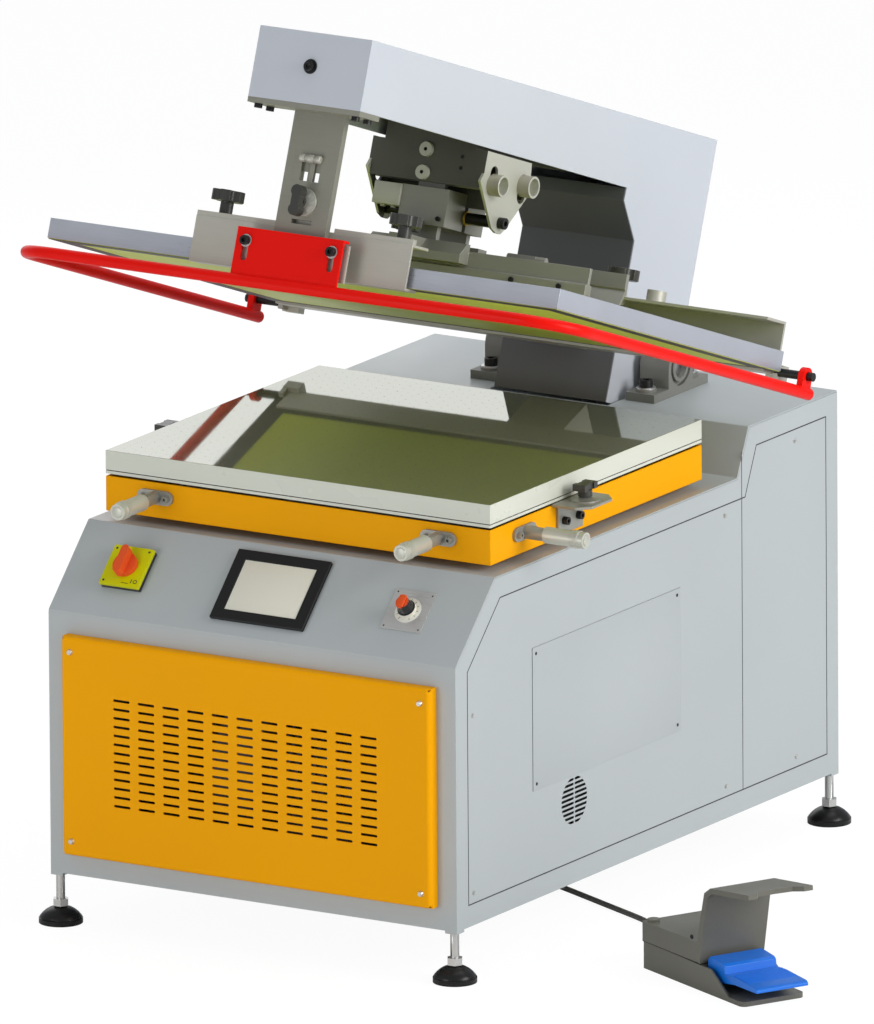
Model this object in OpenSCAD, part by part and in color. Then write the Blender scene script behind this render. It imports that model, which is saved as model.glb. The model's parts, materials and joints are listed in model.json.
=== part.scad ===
// Clamshell flatbed screen printing press with a vacuum table, on a sheet-metal cabinet.
// The origin lies on the floor, midway between the four levelling feet; -Y is the operator's side.
// At rest the printing head stands open, tilted back about its rear shaft.

/* [Cabinet] */
// Width of the cabinet
cab_w = 856; // [780:1:1000]
// Depth of the cabinet
cab_d = 1327; // [1300:1:1400]
// Height of the cabinet's underside above the floor
cab_z = 95; // [85:1:120]
// Height of the front crease where the console starts
crease_z = 582; // [540:1:600]
// Depth of the sloping console
console_d = 137.5; // [120:0.5:145]
// Height of the table deck
deck_z = 719; // [700:1:740]
// Distance from the cabinet's front to the foot of the step
step_in = 976.5; // [970:0.5:980]
// Depth of the step's slope
step_d = 40; // [30:1:42]
// Height of the rear deck
rear_z = 807; // [795:1:820]
// Side of the square frame tube
bar = 40; // [30:1:45]
// Thickness of the top and console sheet
skin = 3; // [2:0.5:4]
// Thickness of the removable panels
panel_t = 2; // [1.5:0.5:3]
// Width of the joint line round a panel
panel_gap = 1.2; // [0.6:0.2:2]
// Distance from the cabinet's front to the joint between its side panels
side_split = 991; // [900:1:1000]
// Width of the strip that a panel lies on
landing_w = 14; // [10:1:20]

/* [Levelling feet] */
// Distance of a foot's centre in from the cabinet's corner, each way
foot_in = 12.5; // [10:0.5:20]
// Radius of a foot pad
pad_r = 40; // [30:1:50]
// Height of the pad's straight rim
pad_rim = 9; // [6:1:12]
// Diameter of the foot's threaded rod
foot_rod_d = 16; // [12:1:20]

/* [Front cover] */
// Distance that the cover stands proud of the frame
cover_proud = 25; // [15:1:35]
// Radius of the cover's folded edge
cover_r = 8; // [3:1:10]
// Thickness of the cover's sheet
cover_t = 2; // [1.5:0.5:3]
// Length of a louvre slot
louvre_l = 35; // [20:1:40]
// Height of a louvre slot
louvre_h = 5; // [3:0.5:7]
// Sideways pitch of the louvres
louvre_px = 52; // [45:1:60]
// Upright pitch of the louvres
louvre_pz = 16.3; // [12:0.1:20]
// Louvre columns
louvre_cols = 11; // [5:1:11]
// Louvre rows
louvre_rows = 13; // [5:1:15]
// Diameter of the round slotted vent in the right side panel
vent_d = 88; // [60:1:100]

/* [Console] */
// Width of the touch screen's bezel
screen_w = 195; // [160:1:220]
// Height of the touch screen's bezel, along the slope
screen_h = 146; // [120:1:150]
// Side of the isolator's square plate
isolator_w = 82; // [60:1:90]
// Distance of the isolator from the middle of the console
isolator_x = 300; // [250:1:320]
// Side of the speed control's square plate
speed_w = 84; // [60:1:90]
// Distance of the speed control from the middle of the console
speed_x = 287; // [250:1:320]

/* [Vacuum table] */
// Width of the table
table_w = 810; // [700:1:820]
// Depth of the table
table_d = 731; // [650:1:740]
// Distance from the cabinet's front to the table's front
table_in = 160; // [150:1:175]
// Thickness of the table top with its base plate
table_t = 43; // [35:1:50]
// Height of the tray under the table
tray_h = 65; // [60:1:70]
// Thickness of the tray's walls
tray_t = 4; // [3:0.5:6]
// Height of the feet that the tray stands on
tray_foot_h = 13; // [8:1:20]
// Gap between the closed screen and the table
screen_gap = 12; // [10:0.5:20]
// Pitch of the vacuum holes
hole_pitch = 45; // [40:1:80]
// Distance of each front micrometer in from the side of the table
micrometer_in = 107; // [80:1:150]
// Distance of the side micrometer from the table's front
micrometer_y = 112; // [80:1:200]
// Distance of the table clamps from the table's front
table_clamp_y = 267; // [220:1:400]
// Diameter of a micrometer's thimble
thimble_d = 30; // [24:1:36]

/* [Head] */
// Tilt of the open head, in degrees
open_tilt = 20; // [16:0.5:20]
// Distance of the head's shaft in from the cabinet's rear
pivot_in = 160.5; // [158:0.5:164]
// Height of the head's shaft above the rear deck
pivot_up = 49; // [47:0.5:56]
// Diameter of the head's shaft
shaft_d = 40; // [30:1:45]
// Half of the beam's width
beam_x = 118; // [100:1:125]
// Distance of the beam's front face before the shaft
beam_front = 1144; // [1120:1:1180]
// Height of the beam's top above the shaft
beam_top = 426; // [400:1:450]
// Height of the beam's underside above the shaft
beam_under = 296.5; // [290:0.5:305]
// Distance of the beam's back behind the shaft
beam_back = 121; // [100:1:125]
// Distance of the column's front before the shaft
column_front_y = 114; // [100:1:114]
// Thickness of the beam's sheet
beam_t = 4; // [3:0.5:6]
// Diameter of the two guide rods in the beam
rod_d = 25; // [20:1:30]
// Distance of each guide rod from the middle
rod_x = 62; // [50:1:70]
// Height of the guide rods above the shaft
rod_z = 335; // [325:1:345]

/* [Screen] */
// Half of the screen frame's width
screen_x = 536; // [480:1:560]
// Distance of the screen frame's front before the shaft
screen_front = 1052; // [1040:1:1056]
// Distance of the screen frame's back before the shaft
screen_back = 231; // [229:1:240]
// Height of the screen frame's section
screen_t = 38; // [30:1:45]
// Width of the screen frame's section
screen_bar = 40; // [30:1:45]
// Half of the front clamp's length
clamp_x = 227; // [200:1:300]
// Half of the rear clamp's length
rear_clamp_x = 516; // [450:1:524]
// Height of the clamp channels above the screen's underside
clamp_h = 79; // [70:1:85]
// Sheet thickness of the clamp channels
clamp_t = 5; // [4:0.5:6]
// Distance of each clamp knob from the middle
clamp_knob_x = 187; // [150:1:205]
// Width of the post that carries the front clamp
post_w = 106; // [90:1:120]
// Thickness of the post
post_t = 15; // [10:1:18]

/* [Safety bar] */
// Half of the safety bar's width
safety_x = 582; // [575:1:600]
// Diameter of the safety bar's tube
safety_d = 22; // [18:1:26]
// Distance of the safety bar's front before the shaft
safety_front = 1110; // [1106:1:1120]
// Radius of the safety bar's bends
safety_bend = 100; // [60:5:120]

/* [Print carriage] */
// Distance of the carriage's front plate before the shaft
carriage_front = 683; // [660:1:700]
// Depth of the carriage
carriage_d = 160; // [150:1:170]
// Length of the squeegee
squeegee_l = 710; // [500:1:760]
// Length of the flood bar
flood_l = 740; // [500:1:780]

/* [Foot switch] */
// Length of the foot switch
pedal_l = 330; // [310:1:350]
// Width of the foot switch
pedal_w = 133; // [110:1:150]
// Diameter of the foot switch's lead
cord_d = 10; // [8:0.5:10]

/* [Hidden] */
eps = 0.05;
seat = 0.3;
run = 0.05;
$fn = 48;

front_y = -cab_d / 2;
rear_y = cab_d / 2;
side_x = cab_w / 2;
inner_x = side_x - bar;
console_y = front_y + console_d;
step_y = front_y + step_in;
step_top_y = step_y + step_d;
split_y = front_y + side_split;
pivot_y = rear_y - pivot_in;
pivot_z = rear_z + pivot_up;

// Side outline of the cabinet, clockwise from the front bottom corner, as [y, z]
outline = [
    [front_y, cab_z], [front_y, crease_z], [console_y, deck_z], [step_y, deck_z],
    [step_top_y, rear_z], [rear_y, rear_z], [rear_y, cab_z]
];
function inward(a, b) = let (t = (b - a) / norm(b - a)) [t[1], -t[0]];
function inset(p, d) = [
    for (i = [0:len(p) - 1])
        let (
            n = len(p), ia = (i + n - 1) % n,
            na = inward(p[ia], p[i]), nb = inward(p[i], p[(i + 1) % n]),
            k = na[0] * nb[1] - na[1] * nb[0]
        )
        p[i] + (d[ia] * [nb[1], -nb[0]] + d[i] * [-na[1], na[0]]) / k
];
frame_outline = inset(outline, [0, skin, skin, skin, skin, 0, 0]);
function inner_outline(d) = inset(outline, [d, d, d, d, d, d, d]);

foot_x = side_x - foot_in;
foot_y = rear_y - foot_in;
pad_top = pad_rim + pad_r * 0.565;

slope_l = norm([console_d, deck_z - crease_z]);
slope_a = atan2(deck_z - crease_z, console_d);

cover_w = 2 * inner_x;
cover_z0 = cab_z + bar + 2;
cover_z1 = crease_z - bar;

table_top_z = pivot_z - screen_gap;
table_z = table_top_z - table_t;
table_front = front_y + table_in;
table_y = table_front + table_d / 2;
tray_z = deck_z + tray_foot_h;
tray_top = tray_z + tray_h;
base_plate_t = 6;
ball_z = tray_z + tray_t + 16;
slide_t = 12;
lift_rail_y = table_y + table_d * 0.34 + bar / 2;
lift_tail_y = lift_rail_y + 19.5;
micrometer_z = tray_z + 39;
micrometer_x = table_w / 2 - micrometer_in;
table_clamp_yy = table_front + table_clamp_y;
clamp_plate_z = tray_top - 2;

deck_slot_x = beam_x + 8;
corner_r = norm([column_front_y, 90]);
deck_slot_front = pivot_y - sqrt(corner_r * corner_r - pivot_up * pivot_up) - 6;
deck_slot_back = pivot_y + beam_back - 12;
block_x0 = beam_x + 16;
block_w = 61;
block_l = 188;

lever_r = 190;
lever_a = open_tilt / 2;
pin_y_open = pivot_y - lever_r * sin(lever_a);
pin_stroke = 2 * lever_r * sin(lever_a);
pin_z = pivot_z - lever_r * (1 + cos(lever_a)) / 2;

carriage_back = carriage_front - carriage_d;
carriage_mid = carriage_front - 83;
slot_z0 = 214;
slot_z1 = 268;
squeegee_y = -(carriage_front - 35);
flood_y = -(carriage_back + 19);
squeegee_tube_z = 234;
flood_tube_z = 247;
mesh_t = 1.5;
// Top of the guide block, and half the width and thickness of the web that slides in it
block_top_z = 213;
web_x = 28;
web_t = 6;

// Route of the foot switch's lead on the floor, from the switch to the coil
lead_points = [
    [688.3, -342.8, 14], [677.8, -337.6, 14], [662.2, -328.7, 12.5], [639.3, -311.6, 9],
    [617.9, -287.5, 6.3], [597.8, -256.2, 5.2], [579.5, -221.2, 5], [558.5, -187.3, 5],
    [532.6, -158.6, 5], [503.5, -136.3, 5], [470.4, -117.5, 5], [426.6, -95.5, 5],
    [377.4, -70.9, 5], [328.3, -46.2, 5], [279.1, -21.6, 5], [234.4, 0.8, 5], [196, 24, 5],
    [170, 50, 5], [154, 80, 5], [148.4, 104, 5], [148, 117.9, 5]
];
coil_x = 88;
coil_y = 130;
coil_r0 = 60;
coil_pitch = 11.2;
coil_turns = 1.75;
coil_rise = 10.6;
// Route of the lead from the coil up into its gland
tail_points = [
    [28, 117.9, 15.6], [28, 104, 15.6], [28, 84, 15.8], [26, 60, 18.5], [20, 37, 28],
    [10, 19, 43], [2, 11, 58], [0, 10, 69], [0, 10, 80]
];
gland_x = 0;
gland_y = 10;

switch_a = -26.6;
switch_x = 659;
switch_y = -402;

// Extrudes a side outline given as [y, z] over h along X, from x0
module across(x0, h) {
    translate([x0, 0, 0]) rotate([90, 0, 90]) linear_extrude(h) children();
}

// A box between two corners
module block(a, b) {
    translate(a) cube(b - a);
}

// A rounded slot drawn flat, l long and h high, centred
module slot2d(l, h) {
    square([l - h, h], center = true);
    for (s = [-1, 1]) translate([s * (l - h) / 2, 0]) circle(d = h, $fn = 24);
}

// A cylinder along X, Y or Z from a point
module rod_x(p, r, l) {
    translate(p) rotate([0, 90, 0]) cylinder(r = r, h = l);
}
module rod_y(p, r, l) {
    translate(p) rotate([-90, 0, 0]) cylinder(r = r, h = l);
}

// Puts children drawn on the closed head, with the shaft as origin, on the open head
module on_head() {
    translate([0, pivot_y, pivot_z]) rotate([-open_tilt, 0, 0]) children();
}

// Puts children drawn flat on the console slope, t along it from the crease, z outward
module on_console(x, t) {
    translate([x, front_y, crease_z]) rotate([slope_a, 0, 0]) translate([0, t, 0]) children();
}

// A socket cap screw standing on z = 0 with its shank below
module cap_screw(d, head, grip) {
    difference() {
        cylinder(d = d * 1.5, h = head);
        translate([0, 0, head * 0.4]) cylinder(d = d * 0.8, h = head, $fn = 6);
    }
    if (grip > 0) translate([0, 0, -grip]) cylinder(d = d, h = grip + eps);
}

// A lobed clamping knob on a stem, standing on z = 0
module lobed_knob(d, h, stem_d, stem_h) {
    cylinder(d = stem_d, h = stem_h + eps);
    translate([0, 0, stem_h]) difference() {
        cylinder(d = d, h = h);
        for (i = [0:4]) rotate([0, 0, i * 72 + 36]) translate([d * 0.56, 0, -1])
            cylinder(d = d * 0.34, h = h + 2, $fn = 32);
    }
}

// Domed pads that the levelling feet stand on
module foot_pads() {
    color([0.06, 0.06, 0.06])
    for (x = [-foot_x, foot_x], y = [-foot_y, foot_y]) translate([x, y, 0]) {
        cylinder(r = pad_r, h = pad_rim, $fn = 64);
        translate([0, 0, pad_rim]) rotate_extrude($fn = 64) intersection() {
            translate([0, -pad_r * 0.6]) circle(r = pad_r * 1.165, $fn = 96);
            square([pad_r - 2, pad_r]);
        }
    }
}

// Threaded rods with their nuts and the small plates under the cabinet's corners
module foot_studs() {
    color([0.72, 0.72, 0.7])
    for (x = [-foot_x, foot_x], y = [-foot_y, foot_y]) translate([x, y, 0]) {
        translate([0, 0, pad_top + 0.1]) cylinder(d = foot_rod_d, h = cab_z - 5 - seat - pad_top - 0.1);
        translate([0, 0, pad_top + 0.1]) cylinder(d = 30, h = 13, $fn = 6);
    }
}

module side_ring() {
    lip_x = side_x - panel_t - seat - 3;
    across(inner_x, bar) difference() {
        polygon(frame_outline);
        polygon(inner_outline(bar));
    }
    across(lip_x, 3) difference() {
        polygon(inner_outline(bar - eps));
        polygon(inner_outline(bar + landing_w));
    }
    block([lip_x - 27, split_y - bar / 2, cab_z + bar - 5], [lip_x + 3, split_y + bar / 2, deck_z - bar + 5]);
}

module cross_rail(y, z, d, h) {
    block([-inner_x - eps, y, z], [inner_x + eps, y + d, z + h]);
}

// Welded frame of square tube, with the strips that the panels lie on
module cabinet_frame() {
    color([0.7, 0.73, 0.74]) {
        side_ring();
        mirror([1, 0, 0]) side_ring();
        intersection() {
            across(-side_x, cab_w) polygon(frame_outline);
            union() {
                cross_rail(front_y, crease_z - bar, bar, bar);
                cross_rail(console_y - 4, deck_z - bar, bar, bar);
            }
        }
        cross_rail(front_y, cab_z, bar, bar);
        cross_rail(rear_y - bar, cab_z, bar, bar);
        cross_rail(split_y - bar / 2, cab_z, bar, bar);
        cross_rail(rear_y - bar, rear_z - skin - bar, bar, bar);
        cross_rail(deck_slot_front - 27, deck_z - 4, 24, bar);
        for (y = [table_y - table_d * 0.34, table_y + table_d * 0.34])
            cross_rail(y - bar / 2, deck_z - skin - bar, bar, bar);
        for (s = [-1, 1]) {
            x0 = s > 0 ? block_x0 - 2 : -block_x0 - block_w - 2;
            block([x0, deck_slot_front - 4, deck_z - 4 + bar - 10],
                [x0 + block_w + 4, rear_y - bar + eps, rear_z - skin]);
        }
        // Landing strips of the front cover and of the back panel
        for (s = [0, 1]) mirror([s, 0, 0]) {
            block([inner_x - landing_w, front_y + seat, cab_z + bar - eps],
                [inner_x + eps, front_y + seat + 3, crease_z - bar + eps]);
            block([inner_x - landing_w, rear_y - panel_t - seat - 3, cab_z + bar - eps],
                [inner_x + eps, rear_y - panel_t - seat, rear_z - skin - bar + eps]);
            for (y = [front_y, rear_y - 25]) block([side_x - 25, y, cab_z - 5],
                [side_x, y + 25, cab_z + eps]);
        }
    }
}

module cover_shell(w, z0, z1, d, r) {
    // Box with rounded front edges, from y = 0 back to d
    for (x = [-w / 2 + r, w / 2 - r]) {
        translate([x, r, z0 + r]) cylinder(r = r, h = z1 - z0 - 2 * r);
        for (z = [z0 + r, z1 - r]) translate([x, r, z]) sphere(r = r, $fn = 24);
    }
    for (z = [z0 + r, z1 - r]) rod_x([-w / 2 + r, r, z], r, w - 2 * r);
    block([-w / 2 + r, 0, z0 + r], [w / 2 - r, r + eps, z1 - r]);
    block([-w / 2, r, z0], [w / 2, d, z1]);
}

// Louvred front cover, a folded pan with rounded edges
module front_cover() {
    zc = (cover_z0 + cover_z1) / 2;
    color([0.89, 0.63, 0.0]) difference() {
        translate([0, front_y - cover_proud, 0])
            cover_shell(cover_w, cover_z0, cover_z1, cover_proud, cover_r);
        block([-cover_w / 2 + cover_t, front_y - cover_proud + cover_t + 1, cover_z0 + cover_t],
            [cover_w / 2 - cover_t, front_y + 1, cover_z1 - cover_t]);
        translate([0, front_y, zc]) rotate([90, 0, 0]) linear_extrude(cover_proud + 5)
            for (i = [0:louvre_cols - 1], j = [0:louvre_rows - 1])
                translate([(i - (louvre_cols - 1) / 2) * louvre_px, (j - (louvre_rows - 1) / 2) * louvre_pz])
                    slot2d(louvre_l, louvre_h);
    }
}

// Sloping console sheet with its three cut-outs
module console_panel() {
    color([0.74, 0.77, 0.79]) difference() {
        across(-side_x, cab_w) polygon([outline[1], outline[2], frame_outline[2], frame_outline[1]]);
        on_console(0, slope_l * 0.52) cube([screen_w - 20, screen_h - 20, 4 * skin], center = true);
        on_console(-isolator_x, slope_l * 0.52) cylinder(d = 50, h = 6 * skin, center = true);
        on_console(speed_x, slope_l * 0.52) cylinder(d = 22, h = 6 * skin, center = true);
    }
}

// Folded top sheet: table deck, step and rear deck with the column's opening
module top_deck() {
    color([0.74, 0.77, 0.79]) difference() {
        across(-side_x, cab_w) polygon([
            outline[2], outline[3], outline[4], outline[5],
            frame_outline[5], frame_outline[4], frame_outline[3], frame_outline[2]
        ]);
        block([-deck_slot_x, deck_slot_front, rear_z - 2 * skin],
            [deck_slot_x, deck_slot_back, rear_z + skin]);
    }
}

module side_sheet(y0, y1) {
    across(side_x - panel_t, panel_t) intersection() {
        polygon(inner_outline(bar + panel_gap));
        translate([y0, cab_z]) square([y1 - y0, rear_z - cab_z]);
    }
}

// Plain left side panel
module side_panel_left() {
    color([0.73, 0.76, 0.77]) mirror([1, 0, 0]) side_sheet(front_y, split_y - panel_gap / 2);
}

// Right side panel with its round slotted vent
module side_panel_right() {
    rows = 10;
    color([0.73, 0.76, 0.77]) difference() {
        side_sheet(front_y, split_y - panel_gap / 2);
        across(side_x - 2 * panel_t, 4 * panel_t) translate([front_y + 405, cab_z + 153]) intersection() {
            circle(d = vent_d);
            for (i = [0:rows - 1], s = [-1, 1])
                translate([s * vent_d * 0.26, (i - (rows - 1) / 2) * vent_d / rows])
                    slot2d(vent_d * 0.48, vent_d * 0.055);
        }
    }
}

// Rear side panels, one each side
module rear_side_panels() {
    color([0.73, 0.76, 0.77]) {
        side_sheet(split_y + panel_gap / 2, rear_y);
        mirror([1, 0, 0]) side_sheet(split_y + panel_gap / 2, rear_y);
    }
}

// Removable back panel
module back_panel() {
    z0 = cab_z + bar + panel_gap;
    z1 = rear_z - skin - bar - panel_gap;
    color([0.73, 0.76, 0.77])
    block([-inner_x + panel_gap, rear_y - panel_t, z0], [inner_x - panel_gap, rear_y, z1]);
}

// Base plate that carries the blower and the control box
module base_plate() {
    color([0.6, 0.62, 0.63]) difference() {
        block([-inner_x - 10, front_y + bar + seat, cab_z + bar + 0.1],
            [inner_x + 10, split_y - bar / 2 - seat, cab_z + bar + 3]);
        translate([gland_x, gland_y, cab_z]) cylinder(d = 16.4, h = 2 * bar);
    }
}

module small_screw(d) {
    cylinder(d1 = d, d2 = d * 0.7, h = d * 0.35, $fn = 24);
}

// Screws of the covers and panels, of the pillow blocks and of the table clamps
module cabinet_screws() {
    color([0.55, 0.56, 0.56]) {
        for (x = [-cover_w / 2 + 20, cover_w / 2 - 20], z = [cover_z0 + 27, cover_z1 - 27])
            translate([x, front_y - cover_proud - 0.1, z]) rotate([90, 0, 0]) small_screw(12);
        for (s = [0, 1]) mirror([s, 0, 0]) for (p = [
            [front_y + bar + 18, crease_z - bar - 60], [split_y - 60, deck_z - bar - 20],
            [rear_y - bar - 110, rear_z - bar - 22], [front_y + bar + 18, cab_z + bar + 20],
            [split_y - 60, cab_z + bar + 20], [rear_y - bar - 110, cab_z + bar + 20]
        ]) translate([side_x + 0.1, p[0], p[1]]) rotate([0, 90, 0]) small_screw(9);
        for (x = [-inner_x + 30, inner_x - 30], z = [cab_z + bar + 30, rear_z - bar - 33])
            translate([x, rear_y + 0.1, z]) rotate([-90, 0, 0]) small_screw(9);
    }
    color([0.12, 0.12, 0.12]) {
        for (x = [-1, 1], y = [-72, 72]) translate([x * (block_x0 + block_w / 2), pivot_y + y, rear_z + 21.1])
            cap_screw(16, 16, 0);
        for (s = [0, 1]) mirror([s, 0, 0]) for (y = [-24, 24])
            translate([table_w / 2 + 6.1, table_clamp_yy + y, tray_z + 32]) rotate([0, 90, 0])
                cap_screw(10, 10, 0);
    }
}

// Isolator: square plate on a raised base
module isolator_base() {
    on_console(-isolator_x, slope_l * 0.52) {
        color([0.8, 0.84, 0.0]) difference() {
            block([-isolator_w / 2, -isolator_w / 2, 8], [isolator_w / 2, isolator_w / 2, 16]);
            cylinder(d = 10 + 2 * run, h = 60);
        }
        color([0.1, 0.1, 0.1]) difference() {
            union() {
                block([-isolator_w / 2 + 5, -isolator_w / 2 + 5, 0.1],
                    [isolator_w / 2 - 5, isolator_w / 2 - 5, 8 + eps]);
                translate([0, 0, -45]) cylinder(d = 46, h = 46);
            }
            translate([0, 0, -20]) cylinder(d = 10 + 2 * run, h = 60);
        }
    }
}

// Red rotary handle with its spindle
module isolator_handle() {
    color([0.88, 0.37, 0.16]) on_console(-isolator_x, slope_l * 0.52) {
        translate([0, 0, 16 + seat]) cylinder(d = 46, h = 10);
        translate([0, 0, 26]) linear_extrude(18) {
            square([15, 42], center = true);
            for (s = [-1, 1]) translate([0, s * 21]) circle(d = 15);
        }
        translate([0, 0, -18]) cylinder(d = 10, h = 40);
    }
}

// Touch screen in its bezel, with its body behind the console
module touch_screen() {
    on_console(0, slope_l * 0.52) {
        color([0.08, 0.08, 0.08]) {
            difference() {
                block([-screen_w / 2, -screen_h / 2, 0.1], [screen_w / 2, screen_h / 2, 8]);
                block([-screen_w / 2 + 22, -screen_h / 2 + 20, 6], [screen_w / 2 - 22, screen_h / 2 - 20, 9]);
            }
            block([-screen_w / 2 + 14, -screen_h / 2 + 14, -38], [screen_w / 2 - 14, screen_h / 2 - 14, 1]);
        }
    }
}

// Thin plate of the speed control, with its round dial
module speed_plate() {
    on_console(speed_x, slope_l * 0.52) {
        color([0.75, 0.76, 0.76]) difference() {
            union() {
                block([-speed_w / 2, -speed_w / 2, 0.1], [speed_w / 2, speed_w / 2, 2]);
                cylinder(d = 52, h = 3);
                translate([0, 0, -24]) cylinder(d = 20, h = 25);
            }
            translate([0, 0, -16]) cylinder(d = 6 + 2 * run, h = 30);
        }
    }
}

// Turning knob of the speed control
module speed_knob() {
    on_console(speed_x, slope_l * 0.52) {
        color([0.08, 0.08, 0.08]) {
            translate([0, 0, 3 + seat]) cylinder(d = 34, h = 8);
            translate([0, 0, 11]) cylinder(d1 = 30, d2 = 24, h = 22);
            translate([0, 0, -14]) cylinder(d = 6, h = 20);
        }
        color([0.85, 0.3, 0.15]) translate([-3, -13, 30]) cube([6, 26, 6]);
    }
}

// Side-channel blower that draws the vacuum
module vacuum_blower() {
    z0 = cab_z + bar + 3 + seat;
    yb = front_y + 230;
    color([0.5, 0.52, 0.54]) {
        block([-150, yb - 110, z0], [150, yb + 110, z0 + 16]);
        rod_x([-145, yb, z0 + 150], 135, 90);
        rod_x([-60, yb, z0 + 150], 85, 190);
        for (i = [0:8]) rod_x([-48 + i * 18, yb, z0 + 150], 96, 6);
        block([-40, yb - 60, z0 + 10], [110, yb + 60, z0 + 100]);
        translate([-100, yb + 70, z0 + 150]) cylinder(d = 60, h = 170);
    }
}

// Control box for the drives and valves
module control_box() {
    z0 = cab_z + bar + 3 + seat;
    color([0.8, 0.8, 0.78]) {
        block([-260, 40, z0], [-40, 240, z0 + 330]);
        block([-250, 30, z0 + 10], [-50, 40 + eps, z0 + 320]);
        for (x = [-210, -150, -90]) translate([x, 60, z0 + 330 - eps]) cylinder(d = 24, h = 14);
    }
}

// Pneumatic cylinder that lifts the head, held to a cross bar
module lift_cylinder() {
    y1 = pin_y_open - 90;
    y0 = lift_tail_y;
    color([0.66, 0.68, 0.7]) difference() {
        union() {
            rod_y([0, y0, pin_z], 30, y1 - y0);
            block([-34, y0, pin_z - 34], [34, y0 + 28, pin_z + 34]);
            block([-34, y1 - 28, pin_z - 34], [34, y1, pin_z + 34]);
            block([-60, lift_rail_y + seat, pin_z - 34], [60, y0 + eps, deck_z - skin - seat]);
            for (x = [-26, 26], z = [-26, 26]) rod_y([x, y0 + 5, pin_z + z], 4, y1 - y0 - 10);
        }
        rod_y([0, y0 + 60, pin_z], 10 + run, 400);
    }
}

// Piston rod with its fork, which pushes the head's lever
module lift_rod() {
    color([0.78, 0.79, 0.8]) difference() {
        union() {
            rod_y([0, lift_tail_y + 70, pin_z], 10, pin_y_open - 25 - lift_tail_y - 70);
            block([-24, pin_y_open - 44, pin_z - 20], [24, pin_y_open, pin_z + 20]);
            rod_x([-24, pin_y_open, pin_z], 20, 48);
        }
        block([-11, pin_y_open - 31, pin_z - 30], [11, pin_y_open + 40, pin_z + 30]);
        rod_x([-30, pin_y_open, pin_z], 8 + lever_r * (1 - cos(lever_a)) / 2 + 0.5, 60);
    }
}

// Pair of pillow blocks that carry the head's shaft
module pillow_blocks() {
    color([0.55, 0.55, 0.52]) for (s = [0, 1]) mirror([s, 0, 0])
        translate([block_x0, pivot_y, rear_z]) difference() {
        union() {
            block([0, -block_l / 2, 0.1], [block_w, block_l / 2, 16]);
            translate([0, 0, pivot_up]) rotate([0, 90, 0]) cylinder(r = 43, h = block_w, $fn = 64);
            block([0, -43, 8], [block_w, 43, pivot_up]);
            for (y = [-72, 72]) translate([block_w / 2, y, 8]) cylinder(d = 38, h = 13);
        }
        translate([-1, 0, pivot_up]) rotate([0, 90, 0]) cylinder(r = shaft_d / 2 + run, h = block_w + 2);
        translate([block_w - 8, 0, pivot_up]) rotate([0, 90, 0]) difference() {
            cylinder(r = 34, h = 12);
            translate([0, 0, -1]) cylinder(r = 27, h = 14);
        }
    }
}

// Open tray that carries the table's slides, on four feet
module table_tray() {
    x1 = table_w / 2;
    y1 = table_d / 2;
    color([0.89, 0.63, 0.0]) translate([0, table_y, 0]) {
        difference() {
            block([-x1, -y1, tray_z], [x1, y1, tray_top]);
            block([-x1 + tray_t, -y1 + tray_t, tray_z + tray_t], [x1 - tray_t, y1 - tray_t, tray_top + 1]);
        }
        for (x = [-x1 * 0.68, x1 * 0.68], y = [-y1 * 0.68, y1 * 0.68]) {
            block([x - 30, y - 20, deck_z + 0.1], [x + 30, y + 20, tray_z + eps]);
            translate([x * 0.8, y * 0.8, tray_z + tray_t - eps]) cylinder(d = 60, h = 16 + eps);
        }
    }
}

// Lower slide of the table, which moves front to back
module cross_slide() {
    color([0.7, 0.71, 0.72]) translate([0, table_y, ball_z + 0.1]) difference() {
        block([-table_w * 0.4, -table_d * 0.4, 0], [table_w * 0.4, table_d * 0.4, slide_t]);
        cylinder(d = 180, h = 100, center = true);
    }
}

// Upper slide of the table, which moves side to side
module turn_plate() {
    color([0.76, 0.77, 0.78]) translate([0, table_y, ball_z + slide_t + 0.2]) difference() {
        block([-table_w * 0.36, -table_d * 0.36, 0], [table_w * 0.36, table_d * 0.36, slide_t]);
        cylinder(d = 80 + 2 * run, h = 100, center = true);
    }
}

// Vacuum table top with its hole grid, on a thin base plate and a turning boss
module vacuum_table() {
    nx = floor((table_w - 60) / hole_pitch / 2);
    ny = floor((table_d - 60) / hole_pitch / 2);
    boss_z = ball_z + 2 * slide_t + 0.3;
    color([0.83, 0.83, 0.78]) translate([0, table_y, 0]) {
        difference() {
            block([-table_w / 2, -table_d / 2, table_z + base_plate_t + 1],
                [table_w / 2, table_d / 2, table_top_z]);
            for (i = [-nx:nx], j = [-ny:ny])
                translate([i * hole_pitch, j * hole_pitch, table_top_z - 8])
                    cylinder(d = 2.5, h = 10, $fn = 8);
        }
        block([-table_w / 2 + 1, -table_d / 2 + 1, table_z + base_plate_t - eps],
            [table_w / 2 - 1, table_d / 2 - 1, table_z + base_plate_t + 1 + eps]);
        block([-table_w / 2, -table_d / 2, table_z], [table_w / 2, table_d / 2, table_z + base_plate_t]);
        translate([0, 0, boss_z]) cylinder(d = 200, h = table_z - boss_z + eps);
        translate([0, 0, boss_z - slide_t]) cylinder(d = 80, h = slide_t + 1);
    }
}

// Places a micrometer drawn along +Z, pointing out of the tray
module at_micrometer(which) {
    if (which == "side") translate([table_w / 2, table_front + micrometer_y, micrometer_z])
        rotate([0, 90, 0]) rotate([0, 0, 90]) children();
    else translate([which == "left" ? -micrometer_x : micrometer_x, table_front, micrometer_z])
        rotate([90, 0, 0]) children();
}

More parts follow.
